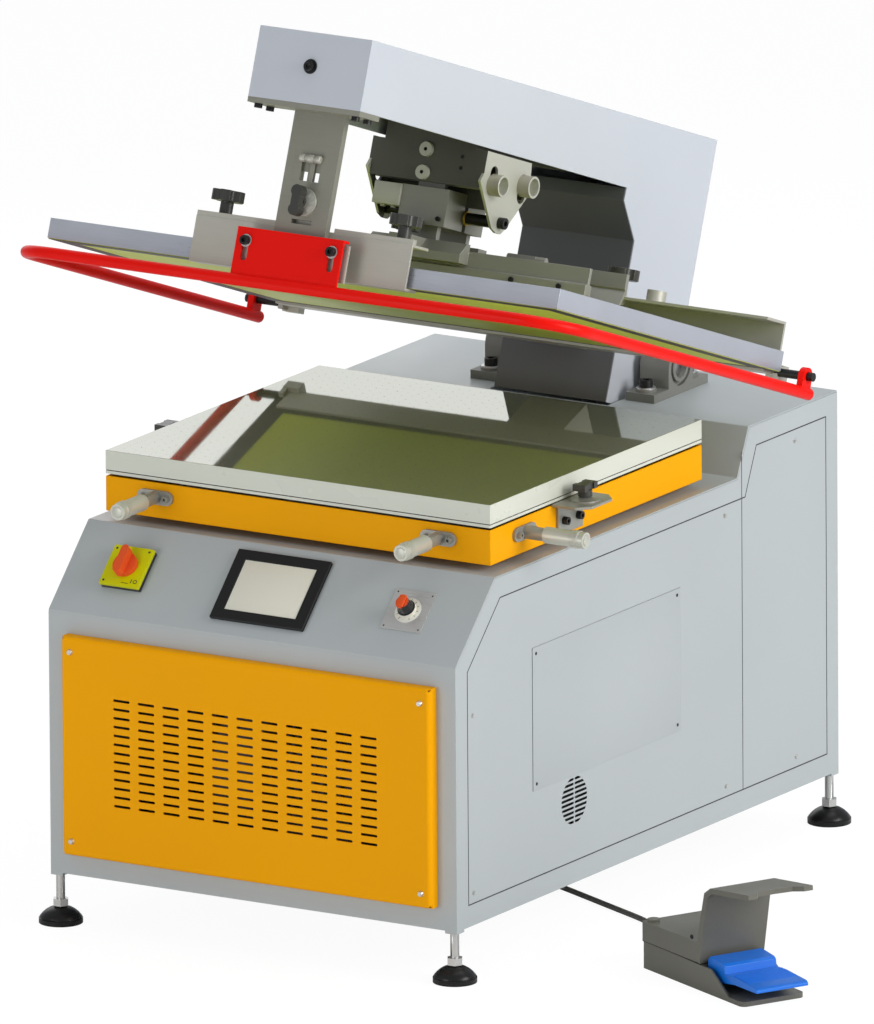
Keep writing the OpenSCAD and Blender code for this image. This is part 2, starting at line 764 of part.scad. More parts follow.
// Fixed sleeves of the micrometers with their flanges
module micrometer_sleeves() {
    color([0.66, 0.66, 0.62]) for (w = ["left", "right", "side"]) at_micrometer(w) difference() {
        union() {
            translate([0, 0, 0.1]) linear_extrude(6) {
                square([48, 26], center = true);
                for (s = [-1, 1]) translate([s * 24, 0]) circle(d = 26);
            }
            cylinder(d = 24, h = 60);
            for (s = [-1, 1]) translate([s * 25, 0, 6]) cap_screw(8, 8, 0);
        }
        translate([0, 0, -1]) cylinder(d = 10 + 2 * run, h = 80);
    }
}

// A turning thimble with its spindle and a grip ring
module thimble() {
    color([0.72, 0.72, 0.68]) {
        difference() {
            translate([0, 0, 48]) cylinder(d = thimble_d, h = 84);
            translate([0, 0, 40]) cylinder(d = 24 + 2 * seat, h = 20 + 2 * seat);
        }
        translate([0, 0, 106]) cylinder(d = thimble_d + 2, h = 14, $fn = 24);
        translate([0, 0, 4]) cylinder(d = 10, h = 70);
    }
}
module micrometer_left() {
    at_micrometer("left") thimble();
}
module micrometer_right() {
    at_micrometer("right") thimble();
}
module micrometer_side() {
    at_micrometer("side") thimble();
}

clamp_stud_x = table_w / 2 + 36;
// Side clamps of the table: angle brackets with their pressure plates
module table_clamps() {
    color([0.62, 0.62, 0.58]) for (s = [0, 1]) mirror([s, 0, 0]) translate([table_w / 2, table_clamp_yy, 0]) {
        block([0.1, -42, tray_z + 8], [6, 42, clamp_plate_z + eps]);
        difference() {
            translate([0, 0, clamp_plate_z]) linear_extrude(5)
                polygon([[0.1, -58], [50, -58], [72, -34], [72, 34], [50, 58], [0.1, 58]]);
            translate([36, 0, clamp_plate_z - 5]) cylinder(d = 8 + 2 * run, h = 20);
        }
        difference() {
            translate([36, 0, clamp_plate_z + 5 - eps]) union() {
                cylinder(d = 54, h = 3);
                translate([0, 0, 3]) cylinder(d1 = 50, d2 = 14, h = 5);
            }
            translate([36, 0, clamp_plate_z]) cylinder(d = 8 + 2 * run, h = 20);
        }
    }
}

// A wing knob with its stud
module wing_knob() {
    color([0.3, 0.31, 0.27]) translate([0, 0, clamp_plate_z + 13 + seat]) {
        cylinder(d = 26, h = 12);
        translate([0, 0, 12 - eps]) linear_extrude(12) {
            square([20, 44], center = true);
            for (s = [-1, 1]) translate([0, s * 16]) square([26, 12], center = true);
        }
        translate([0, 0, -22]) cylinder(d = 8, h = 24);
    }
}
module table_knob_left() {
    translate([-clamp_stud_x, table_clamp_yy, 0]) wing_knob();
}
module table_knob_right() {
    translate([clamp_stud_x, table_clamp_yy, 0]) wing_knob();
}

// Shaft of the head with the lever that the lift cylinder pushes
module head_shaft() {
    x1 = block_x0 + block_w - 10;
    color([0.75, 0.76, 0.77]) on_head() {
        rod_x([-x1, 0, 0], shaft_d / 2, 2 * x1);
        rotate([lever_a, 0, 0]) {
            difference() {
                union() {
                    rod_x([-28, 0, 0], shaft_d / 2 + 16, 56);
                    block([-10, -24, -lever_r], [10, 24, 0]);
                    rod_x([-10, 0, -lever_r], 24, 20);
                }
            }
            rod_x([-26, 0, -lever_r], 8, 52);
        }
    }
}

// Side outline of the hood: beam and column in one sheet
hood_side = [
    [-beam_front, beam_under], [-beam_front, beam_top], [beam_back, beam_top], [beam_back, -5],
    [0, -90], [-column_front_y + beam_t, -90], [-column_front_y + beam_t, 207],
    [-175 + beam_t, 272], [-174 + beam_t, beam_under]
];
// Light sheet-metal hood over the beam and the column
module hood() {
    color([0.83, 0.85, 0.87]) on_head() {
        for (s = [0, 1]) mirror([s, 0, 0]) difference() {
            across(beam_x - beam_t, beam_t) polygon(hood_side);
            rod_x([beam_x - 10, 0, 0], shaft_d / 2 + seat, 20);
        }
        block([-beam_x + beam_t - eps, -beam_front, beam_top - beam_t],
            [beam_x - beam_t + eps, beam_back, beam_top]);
        block([-beam_x + beam_t - eps, beam_back - beam_t, 30],
            [beam_x - beam_t + eps, beam_back, beam_top - beam_t + eps]);
        difference() {
            block([-beam_x + beam_t - eps, -beam_front, beam_under],
                [beam_x - beam_t + eps, -beam_front + beam_t, beam_top - beam_t + eps]);
            rod_y([0, -beam_front - 1, beam_top - 62], 9, 10);
        }
    }
}

// Dark front plate of the column with its bent top, and the shaft's collars behind it
module column_front() {
    x1 = beam_x - beam_t - seat;
    color([0.33, 0.34, 0.35]) on_head() {
        across(-beam_x, 2 * beam_x) polygon([
            [-column_front_y, -90], [-column_front_y, 207], [-175, 272], [-174, beam_under - 0.2],
            [-174 + beam_t - 0.2, beam_under - 0.2], [-175 + beam_t - 0.2, 272],
            [-column_front_y + beam_t - 0.2, 207], [-column_front_y + beam_t - 0.2, -90]
        ]);
        for (s = [0, 1]) mirror([s, 0, 0]) difference() {
            rod_x([x1 - 40, 0, 0], shaft_d / 2 + 20, 40);
            rod_x([x1 - 50, 0, 0], shaft_d / 2 + 0.02, 60);
        }
        for (z = [-60, 60]) block([-x1, -column_front_y + beam_t - 0.2 - eps, z],
            [x1, -column_front_y + 24, z + 6]);
    }
}

// Guide rods of the print carriage in their end blocks
module beam_rails() {
    x1 = beam_x - beam_t - seat;
    z1 = beam_top - beam_t - seat;
    color([0.7, 0.71, 0.72]) on_head() {
        for (s = [-1, 1]) rod_y([s * rod_x, -beam_front + 30, rod_z], rod_d / 2, beam_front - 225);
        for (y = [-beam_front + 20, -215]) difference() {
            block([-x1, y, rod_z - 26], [x1, y + 26, z1]);
            rod_y([0, y - 1, rod_z + 48], 20 + seat, 40);
        }
    }
}

// Rodless cylinder that drives the carriage along the beam
module drive_cylinder() {
    color([0.6, 0.62, 0.64]) on_head() {
        rod_y([0, -beam_front + 14, rod_z + 48], 20, beam_front - 190);
        for (y = [-beam_front + 6, -186]) rod_y([0, y, rod_z + 48], 28, 12);
    }
}

// Flat post under the beam's front, on its cover plate
module post() {
    z_plate = beam_under - 9.5;
    color([0.66, 0.66, 0.61]) on_head() {
        difference() {
            block([-beam_x + 0.5, -beam_front, z_plate], [beam_x - 0.5, -beam_front + 71, beam_under - 0.1]);
        }
        difference() {
            block([-post_w / 2, -post_y1, 20], [post_w / 2, -post_y0, z_plate + eps]);
            block([-36, -post_y1 - 1, 164], [36, -post_y0 + 1, 221]);
            block([-21, -post_y1 - 1, 86], [21, -post_y0 + 1, 94]);
            rod_y([0, -post_y1 - 1, 126], 6 + run, 40);
        }
        translate([0, -post_y1 + 7, 150]) cylinder(d = 14, h = 56);
        block([-27, -post_y1 + 1, 202], [27, -post_y0 - 2, 215]);
        for (x = [-102, 102], y = [-1129, -1087]) translate([x, y, z_plate - 8])
            cylinder(d = 15, h = 8 + eps);
    }
}
post_y0 = 1067;
post_y1 = post_y0 + post_t;

// Lock knob of the screen height on its round flange
module post_knob() {
    color([0.35, 0.35, 0.33]) on_head() {
        translate([0, -post_y1 - seat, 126]) rotate([90, 0, 0]) {
            cylinder(d = 50, h = 5);
            translate([0, 0, 5]) cylinder(d1 = 46, d2 = 26, h = 5);
            cylinder(d = 20, h = 18);
            translate([0, 0, 16]) linear_extrude(20) {
                square([16, 34], center = true);
                for (s = [-1, 1]) translate([0, s * 17]) circle(d = 22);
            }
            translate([0, 0, -post_t - 6]) cylinder(d = 12, h = post_t + 8);
        }
    }
}

// Front clamp: a channel that holds the screen frame's front bar
module front_clamp() {
    y0 = -post_y0 + seat;
    color([0.64, 0.64, 0.59]) on_head() difference() {
        union() {
            block([-clamp_x, y0, -clamp_t], [clamp_x, y0 + clamp_t, clamp_h]);
            block([-clamp_x, y0, -clamp_t], [clamp_x, y0 + 40, -0.1]);
            block([-clamp_x, y0, clamp_h - clamp_t], [clamp_x, y0 + 58, clamp_h]);
            for (s = [-1, 1]) {
                x0 = s > 0 ? post_w / 2 + 8 : -clamp_x;
                block([x0, y0 + 1, clamp_h - eps], [x0 + clamp_x - post_w / 2 - 8, y0 + 13, clamp_h + 9]);
                translate([s * clamp_knob_x, -1035, clamp_h - 14]) cylinder(d = 26, h = 22);
            }
            block([-45, y0, clamp_h - eps], [45, y0 + 8, 150]);
        }
        for (s = [-1, 1]) translate([s * clamp_knob_x, -1035, clamp_h - 20])
            cylinder(d = 12 + 2 * run, h = 40);
        for (z = [124, 136]) rod_y([0, y0 - 1, z], 6 + seat, 20);
        block([-6 - seat, y0 - 1, 124], [6 + seat, y0 + 19, 136]);
    }
}

rear_web_y = screen_back - 19;
rear_knob_y = screen_back + 16;
rear_h = clamp_h + 14;
// Rear clamp: a long channel that holds the screen frame's rear bar, on its column bracket
module rear_clamp() {
    y1 = -rear_web_y + clamp_t;
    color([0.6, 0.6, 0.56]) on_head() difference() {
        union() {
            block([-rear_clamp_x, -rear_web_y, -clamp_t], [rear_clamp_x, y1, rear_h]);
            block([-rear_clamp_x, -rear_web_y - 48, -clamp_t], [rear_clamp_x, y1, -0.1]);
            block([-rear_clamp_x, -rear_web_y - 64, rear_h - clamp_t], [rear_clamp_x, y1, rear_h]);
            for (s = [-1, 1]) {
                translate([s * clamp_knob_x, -rear_knob_y, rear_h - 14]) cylinder(d = 26, h = 22);
                translate([s * 252, -228, rear_h - eps]) cylinder(d = 36, h = 22);
            }
            block([-60, y1 - eps, 0], [60, -column_front_y - seat, 70]);
            for (s = [0, 1]) mirror([s, 0, 0]) {
                block([rear_clamp_x - 22, -rear_web_y + 1, -14], [rear_clamp_x + 12, -190, 14]);
                rod_x([rear_clamp_x + 4, -safety_pin_y, 0], 8, safety_x + 18 - rear_clamp_x - 4);
                block([rear_clamp_x + 2, -safety_pin_y - 7.5, -12], [rear_clamp_x + 12, -205, 12]);
            }
        }
        for (s = [-1, 1]) translate([s * clamp_knob_x, -rear_knob_y, rear_h - 20])
            cylinder(d = 12 + 2 * run, h = 40);
    }
}
safety_pin_y = screen_back - 10;

// A clamp screw with its lobed knob and pressure pad
module clamp_knob(x, y, h) {
    color([0.25, 0.25, 0.24]) on_head() translate([x, y, 0]) {
        translate([0, 0, h + 8 + seat]) lobed_knob(60, 20, 24, 24);
        translate([0, 0, screen_t + 6]) cylinder(d = 12, h = h - screen_t + 4);
        translate([0, 0, screen_t + seat]) cylinder(d = 24, h = 6);
    }
}
module clamp_knob_fl() {
    clamp_knob(-clamp_knob_x, -1035, clamp_h);
}
module clamp_knob_fr() {
    clamp_knob(clamp_knob_x, -1035, clamp_h);
}
module clamp_knob_rl() {
    clamp_knob(-clamp_knob_x, -rear_knob_y, rear_h);
}
module clamp_knob_rr() {
    clamp_knob(clamp_knob_x, -rear_knob_y, rear_h);
}

// Aluminium screen frame of rectangular tube
module screen_frame() {
    color([0.76, 0.79, 0.83]) on_head() difference() {
        block([-screen_x, -screen_front, mesh_t], [screen_x, -screen_back, screen_t]);
        block([-screen_x + screen_bar, -screen_front + screen_bar, -1],
            [screen_x - screen_bar, -screen_back - screen_bar, screen_t + 1]);
    }
}

// Stretched mesh glued under the screen frame
module screen_mesh() {
    color([0.8, 0.86, 0.25]) on_head()
    block([-screen_x + 2, -screen_front + 2, 0], [screen_x - 2, -screen_back - 2, mesh_t - 0.1]);
}

safety_z = -30;
stop_screw_z = 42;
// Bracket before the post, with the two screws that the safety plate hangs on
module stop_bracket() {
    yb = -safety_front + 11.5;
    color([0.58, 0.58, 0.54]) on_head() {
        block([-102, yb, -10], [118, yb + 5, 58]);
        for (s = [0, 1]) mirror([s, 0, 0]) {
            block([post_w / 2 + 9, yb + 4, 0], [post_w / 2 + 15, -post_y0 + seat - 0.1, 52]);
            translate([90, yb, stop_screw_z]) rotate([90, 0, 0]) {
                cylinder(d = 12, h = 14);
                translate([0, 0, 11.5 + seat]) cap_screw(12, 9, 0);
            }
        }
    }
}

// Red safety bar: a bent tube with its front plate and rear lugs
module safety_bar() {
    y0 = -safety_front;
    r = safety_d / 2;
    xb = safety_x - safety_bend;
    yb = y0 + safety_bend;
    arm_end = -198;
    color([0.94, 0.08, 0.02]) on_head() {
        rod_x([-xb, y0, safety_z], r, 2 * xb);
        for (s = [0, 1]) mirror([s, 0, 0]) {
            translate([xb, yb, safety_z]) rotate([0, 0, -90]) rotate_extrude(angle = 90, $fn = 96)
                translate([safety_bend, 0]) circle(r = r, $fn = 32);
            rod_y([safety_x, yb, safety_z], r, arm_end - yb);
            difference() {
                union() {
                    rod_x([safety_x - 6, -safety_pin_y, 0], 16, 12);
                    block([safety_x - 6, -safety_pin_y - 16, safety_z],
                        [safety_x + 6, -safety_pin_y + 16, 0]);
                }
                rod_x([safety_x - 10, -safety_pin_y, 0], 8 + run, 20);
            }
        }
        difference() {
            union() {
                block([-111, y0, safety_z + 4], [111, y0 + 5, 66]);
                block([-111, y0, 61], [111, y0 + 20, 66]);
            }
            for (s = [-1, 1]) translate([s * 90, y0 + 12, 27.1]) rotate([90, 0, 0]) linear_extrude(20)
                rotate([0, 0, 90]) slot2d(42.4, 13.4);
        }
    }
}

// Print carriage: side plates, cross plates, saddle on the guide rods and lift cylinders
module carriage_frame() {
    yf = -carriage_front;
    ym = -carriage_mid;
    yr = -carriage_back;
    x1 = beam_x + 3;
    on_head() {
        color([0.8, 0.8, 0.73]) for (s = [0, 1]) mirror([s, 0, 0]) difference() {
            across(x1 - 5, 5) union() {
                polygon([
                    [yf, 291], [yf, 250], [yf - 9, 235], [yf + 58, 158], [yf + 76, 151.5],
                    [yf + 92, 151.5], [yf + 106, 162], [yr + 2, 227], [yr + 4, 268], [yr, 291]
                ]);
            }
            for (y = [squeegee_y, flood_y]) translate([x1 - 10, y, (slot_z0 + slot_z1) / 2])
                rotate([90, 0, 90])
                linear_extrude(20) rotate([0, 0, 90]) slot2d(slot_z1 - slot_z0, 26);
            rod_x([x1 - 10, ym, 171], 8, 20);
        }
        color([0.24, 0.25, 0.21]) {
            block([-x1 + 5 - eps, yf, 222], [x1 - 5 + eps, yf + 6, 290]);
            block([-x1 + 5 - eps, ym - 6, 190], [x1 - 5 + eps, ym + 6, 290]);
            block([-x1 + 5 - eps, yr - 6, 222], [x1 - 5 + eps, yr, 290]);
            for (z = [279, 237]) translate([-4, yf + 1, z]) rotate([90, 0, 0]) difference() {
                cylinder(d = 26, h = 9);
                translate([0, 0, 5]) cylinder(d = 7, h = 9);
            }
            rod_x([-x1, ym, 171], 8, 2 * x1 + 4);
            rod_x([-x1 + 6, ym, 171], 11, 2 * x1 - 12);
        }
        color([0.12, 0.12, 0.12]) translate([x1, ym, 171]) rotate([0, 90, 0]) cap_screw(14, 13, 0);
        color([0.4, 0.39, 0.33]) {
            difference() {
                union() {
                    block([-49, yf + 12, 145], [49, ym - 5.9, block_top_z]);
                    block([-49, ym + 5.9, 145], [49, yr - 10, block_top_z]);
                }
                for (y = [squeegee_y, flood_y])
                    block([-web_x - run, y - web_t - run, 140],
                            [web_x + run, y + web_t + run, block_top_z + 1]);
            }
            block([-20, yf + 20, rod_z + 21], [20, yr - 20, rod_z + 28 - seat]);
            block([-100, ym + 5.9, 178], [-62, ym + 46, 214]);
            difference() {
                block([-rod_x - 34, yf, 290 - eps], [rod_x + 34, yr, rod_z + 22]);
                for (s = [-1, 1]) rod_y([s * rod_x, yf - 5, rod_z], rod_d / 2 + run, carriage_d + 10);
            }
        }
    }
}

// Guide tube across the carriage with a hollow roller at its right end, and the web down to its bar
module lift_guide(y, z, z_low) {
    x1 = beam_x + 3;
    difference() {
        union() {
            rod_x([-x1 - seat, y, z], 12.5, 2 * x1 + 2 * seat);
            rod_x([x1 + seat, y, z], 20, 24);
            block([-web_x, y - web_t, z_low], [web_x, y + web_t, z]);
        }
        rod_x([x1 + 2, y, z], 16, 40);
    }
}

// Squeegee holder: links, bevelled bracket and the two jaws
module squeegee_holder() {
    y = squeegee_y;
    l = squeegee_l / 2;
    color([0.62, 0.61, 0.55]) on_head() {
        lift_guide(y, squeegee_tube_z, 120);
        block([-62, y - 15, 109], [62, y + 15, 121]);
        across(-100, 200) polygon([[y - 15, 121], [y - 34, 100], [y - 34, 84], [y - 3, 84], [y - 3, 121]]);
        across(-l, 2 * l) polygon([
            [y - 4, 109], [y + 4, 109], [y + 4, 80], [y + 11, 78], [y + 11, 42], [y + 4.6, 38.4],
            [y + 4.6, 60], [y - 4.6, 60], [y - 4.6, 38.4], [y - 11, 42], [y - 11, 78], [y - 4, 80]
        ]);
        block([-34, y - 68, 104], [14, y - 10, 121]);
        translate([-10, y - 52, 120]) lobed_knob(54, 24, 20, 8);
    }
}

// Rubber squeegee blade
module squeegee_blade() {
    y = squeegee_y;
    l = squeegee_l / 2;
    color([0.55, 0.35, 0.12]) on_head()
    across(-l + 2, 2 * l - 4) polygon([[y - 4.5, 59.9], [y + 4.5, 59.9], [y + 4.5, 10],
        [y + 3.5, 8.6], [y - 3.5, 8.6], [y - 4.5, 10]]);
}

// Flood bar: a bent blade on its bracket and links
module flood_bar() {
    y = flood_y;
    l = flood_l / 2;
    color([0.58, 0.57, 0.52]) on_head() {
        lift_guide(y, flood_tube_z, 122);
        block([-62, y - 15, 111], [62, y + 15, 123]);
        across(-l, 2 * l) polygon([
            [y - 4, 115], [y + 6, 115], [y + 6, 84], [y - 14, 50], [y - 20, 23],
            [y - 23, 23], [y - 18, 51], [y - 1, 85], [y - 4, 88]
        ]);
        for (s = [-1, 1]) rod_x([s > 0 ? 110 : -190, y + 12, 118], 7, 80);
        for (s = [-1, 1]) block([s * 150 - 20, y + 5, 100], [s * 150 + 20, y + 9, 124]);
    }
}

// Puts children drawn along +X from the switch's rear left corner on the floor
module at_switch() {
    translate([switch_x, switch_y, 0]) rotate([0, 0, switch_a]) children();
}

// Cast housing of the foot switch, with the guard over its pedal
module foot_switch() {
    w = pedal_w;
    l = pedal_l;
    color([0.45, 0.44, 0.4]) at_switch() difference() {
        union() {
            intersection() {
                across_switch(w) polygon([[0, 0], [l, 0], [l, 9], [l - 46, 9], [l - 105, 47], [0, 51]]);
                linear_extrude(60) hull() {
                    square([10, w]);
                    for (y = [12, w - 12]) translate([l - 12, y]) circle(r = 12);
                }
            }
            difference() {
                translate([0, -1.5, 0]) across_switch(w + 3) guard_profile(l);
                translate([0, 0, 190]) linear_extrude(40) polygon([
                    [l + 40, 14], [l + 26, 16], [l + 6, 30], [l + 1, w / 2], [l + 6, w - 30],
                        [l + 26, w - 16], [l + 40, w - 14]
                ]);
            }
            translate([14, 13, 88 - eps]) cylinder(d = 23, h = 5);
        }
        block([l - 138, 4, 9], [l + 1, w - 4, 60]);
    }
    color([0.6, 0.6, 0.6]) at_switch() rod_y([l - 121, 1, 38], 4, w - 2);
}

// Side profile of the switch's cover: a level lid, the guard's leaning wall and its roof
module guard_profile(l) {
    polygon([
        [-1.5, 50], [-1.5, 88], [l - 150, 88], [l - 124, 184], [l - 104, 197], [l + 24, 212],
        [l + 25, 203], [l - 100, 187], [l - 115, 177], [l - 140, 50]
    ]);
}

// Extrudes a side profile across the switch's width
module across_switch(w) {
    translate([0, w, 0]) rotate([90, 0, 0]) linear_extrude(w) children();
}

// Stepped pedal of the foot switch
module foot_pedal() {
    l = pedal_l;
    color([0.16, 0.4, 0.88]) at_switch() translate([0, 12, 0]) difference() {
        across_switch(pedal_w - 24) polygon([
            [l - 133, 28], [l - 133, 58], [l - 126, 65], [l - 84, 60], [l - 78, 56], [l - 76, 43],
            [l - 44, 44], [l + 24, 39], [l + 29, 35], [l + 29, 30], [l - 44, 30], [l - 90, 24]
        ]);
        rod_y([l - 121, -1, 38], 4 + run, pedal_w);
    }
}

// Gland of the lead in the base plate
module lead_gland() {
    color([0.1, 0.1, 0.1]) translate([gland_x, gland_y, 0]) difference() {
        union() {
            translate([0, 0, cab_z + bar - 14]) cylinder(d = 24, h = 14, $fn = 6);
            translate([0, 0, cab_z + bar - 14]) cylinder(d = 16, h = 26);
            translate([0, 0, cab_z + bar + 3.2]) cylinder(d = 24, h = 6, $fn = 6);
            translate([0, 0, 80 + 0.1]) cylinder(d1 = 14, d2 = 16, h = cab_z + bar - 14 - 80);
        }
    }
}

function catmull(p, i, t) = let (
    n = len(p) - 1, a = p[max(i - 1, 0)], b = p[i], c = p[min(i + 1, n)], d = p[min(i + 2, n)]
) 0.5 * (2 * b + (c - a) * t + (2 * a - 5 * b + 4 * c - d) * t * t + (3 * b - a - 3 * c + d) * t * t * t);
function smooth(p, k) = concat(
    [for (i = [0:len(p) - 2], j = [0:k - 1]) catmull(p, i, j / k)], [p[len(p) - 1]]
);
function unit(v) = v / norm(v);
function heading(p, i) = let (n = len(p) - 1) unit(p[min(i + 1, n)] - p[max(i - 1, 0)]);

// Sweeps a round tube of the given sides along points
module tube(p, d, sides) {
    n = len(p);
    rings = [for (i = [0:n - 1]) let (t = heading(p, i), ref = abs(t[2]) > 0.9 ? [0, 1, 0] : [0, 0, 1],
        u = unit(cross(ref, t)), v = cross(t, u))
        for (k = [0:sides - 1]) p[i] + d / 2 * (u * cos(360 * k / sides) + v * sin(360 * k / sides))];
    faces = concat(
        [for (i = [0:n - 2], k = [0:sides - 1])
            let (k2 = (k + 1) % sides) [i * sides + k, i * sides + k2, (i + 1) * sides + k2]],
        [for (i = [0:n - 2], k = [0:sides - 1])
            let (k2 = (k + 1) % sides) [i * sides + k, (i + 1) * sides + k2, (i + 1) * sides + k]],
        [for (k = [1:sides - 2]) [0, k + 1, k]],
        [for (k = [1:sides - 2]) [(n - 1) * sides, (n - 1) * sides + k, (n - 1) * sides + k + 1]]
    );
    polyhedron(points = rings, faces = faces);
}

// The lead's free stretches: along the floor from the foot switch, and up into the gland
module foot_switch_lead() {
    color([0.3, 0.29, 0.27]) {
        tube(smooth(lead_points, 3), cord_d, 8);
        tube(smooth(tail_points, 3), cord_d, 8);
    }
}

// Coil centreline: a spiral in on the floor, a climb, and a spiral out above it
coil_steps = 24;
coil_n = round(2 * coil_turns * coil_steps);
function coil_at(i) = let (
    half = coil_n / 2, a = 360 * i / coil_steps, turn = i / coil_steps,
    inward_turns = min(turn, coil_turns), outward_turns = max(turn - coil_turns, 0),
    r = coil_r0 - coil_pitch * inward_turns + coil_pitch * outward_turns,
    climb = min(max((i - half + coil_steps / 4) / (coil_steps / 2), 0), 1)
) [coil_x + r * cos(a), coil_y + r * sin(a), cord_d / 2 + coil_rise * climb];
coil_points = concat(
    [coil_at(0) - [0, 12, 0]], [for (i = [0:coil_n]) coil_at(i)], [coil_at(coil_n) - [0, 12, 0]]
);
coil_gap = min([
    for (i = [0:coil_n + 2], j = [0:coil_n + 2]) if (j > i + 8) norm(coil_points[i] - coil_points[j])
]) - cord_d;
function run_length(p) = len(p) < 2 ? 0 : sum_of([for (i = [1:len(p) - 1]) norm(p[i] - p[i - 1])], 0);
function sum_of(v, i) = i >= len(v) ? 0 : v[i] + sum_of(v, i + 1);
echo(
    lead_length = run_length(smooth(lead_points, 3)) + run_length(coil_points)
        + run_length(smooth(tail_points, 3))
);
echo(coil_gap = coil_gap, coil_start = coil_points[0], coil_end = coil_points[coil_n + 2]);

// The rest of the lead, wound in a round coil under the cabinet
module lead_coil() {
    color([0.3, 0.29, 0.27]) tube(coil_points, cord_d, 6);
}

foot_pads();
foot_studs();
cabinet_frame();
front_cover();
console_panel();
top_deck();
side_panel_left();
side_panel_right();
rear_side_panels();
back_panel();
base_plate();
cabinet_screws();
isolator_base();
isolator_handle();
touch_screen();
speed_plate();
speed_knob();
vacuum_blower();
control_box();
lift_cylinder();
lift_rod();
pillow_blocks();
table_tray();
micrometer_sleeves();
micrometer_left();
micrometer_right();
micrometer_side();
table_clamps();
table_knob_left();
table_knob_right();
cross_slide();
turn_plate();
vacuum_table();
head_shaft();
hood();
column_front();
beam_rails();
drive_cylinder();
post();
post_knob();
front_clamp();
rear_clamp();
clamp_knob_fl();
clamp_knob_fr();
clamp_knob_rl();
clamp_knob_rr();
screen_frame();
screen_mesh();
stop_bracket();
safety_bar();
carriage_frame();
squeegee_holder();
squeegee_blade();
flood_bar();
foot_switch();
foot_pedal();
lead_gland();
foot_switch_lead();
lead_coil();
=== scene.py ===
"""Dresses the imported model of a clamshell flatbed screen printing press."""

import json
import logging
import math
from dataclasses import dataclass, field
from enum import Enum
from typing import Callable, Sequence

import bmesh
import bpy
from mathutils import Matrix, Vector

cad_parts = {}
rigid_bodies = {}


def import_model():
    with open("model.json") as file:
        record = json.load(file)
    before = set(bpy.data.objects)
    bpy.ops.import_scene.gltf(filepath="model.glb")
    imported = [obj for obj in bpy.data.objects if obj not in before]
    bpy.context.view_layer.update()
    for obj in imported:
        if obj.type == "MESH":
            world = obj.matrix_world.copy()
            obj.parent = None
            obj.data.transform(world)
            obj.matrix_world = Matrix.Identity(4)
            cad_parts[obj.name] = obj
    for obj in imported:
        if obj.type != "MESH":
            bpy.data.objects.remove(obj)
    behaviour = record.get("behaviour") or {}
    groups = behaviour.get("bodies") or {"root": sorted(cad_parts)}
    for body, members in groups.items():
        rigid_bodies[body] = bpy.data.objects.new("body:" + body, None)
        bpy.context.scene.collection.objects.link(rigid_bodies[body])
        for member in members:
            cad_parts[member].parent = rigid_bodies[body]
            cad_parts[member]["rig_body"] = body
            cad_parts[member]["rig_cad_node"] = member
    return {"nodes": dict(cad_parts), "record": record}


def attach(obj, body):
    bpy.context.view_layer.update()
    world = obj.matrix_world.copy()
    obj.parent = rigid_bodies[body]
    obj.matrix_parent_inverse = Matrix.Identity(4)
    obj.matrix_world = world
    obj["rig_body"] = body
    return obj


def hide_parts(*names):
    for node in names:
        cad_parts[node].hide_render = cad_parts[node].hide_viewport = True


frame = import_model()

log = logging.getLogger("press")

Point = tuple[float, float, float]
Colour = tuple[float, float, float]
Piece = bpy.types.Object
Face = bpy.types.MeshPolygon
Socket = bpy.types.NodeSocket
Tree = bpy.types.NodeTree

VECTOR, COLOUR, VALUE = "NodeSocketVector", "NodeSocketColor", "NodeSocketFloat"
SMOOTH = math.radians(32.0)
SMOOTH_BEVELLED = math.radians(38.0)
WELD = 0.00002


def move(x: float, y: float, z: float) -> Matrix:
    """Gives the matrix of a move, in metres."""
    return Matrix.Translation((x, y, z))


def spin(degrees: float, axis: str) -> Matrix:
    """Gives the matrix of a turn about an axis."""
    return Matrix.Rotation(math.radians(degrees), 4, axis)


PIVOT = Vector((0.0, 0.503, 0.856))
OPEN_TILT = math.radians(20.0)
HEAD = Matrix.Translation(PIVOT) @ Matrix.Rotation(-OPEN_TILT, 4, "X")
CREASE = Vector((0.0, -0.6635, 0.582))
UNTILT = HEAD.inverted()
SLOPE = math.atan2(0.137, 0.1375)
CONSOLE_LENGTH = math.hypot(0.1375, 0.137)
SWITCH = move(0.659, -0.402, 0.0) @ spin(-26.6, "Z")


class Skin(Enum):
    """How a finish's surface is made."""

    PAINT = "powder coat"
    METAL = "brushed metal"
    CASTING = "cast skin"
    PLASTIC = "moulded plastic"
    PERFORATED = "vacuum table top"
    WEAVE = "screen mesh"
    CORD = "cord sheath"


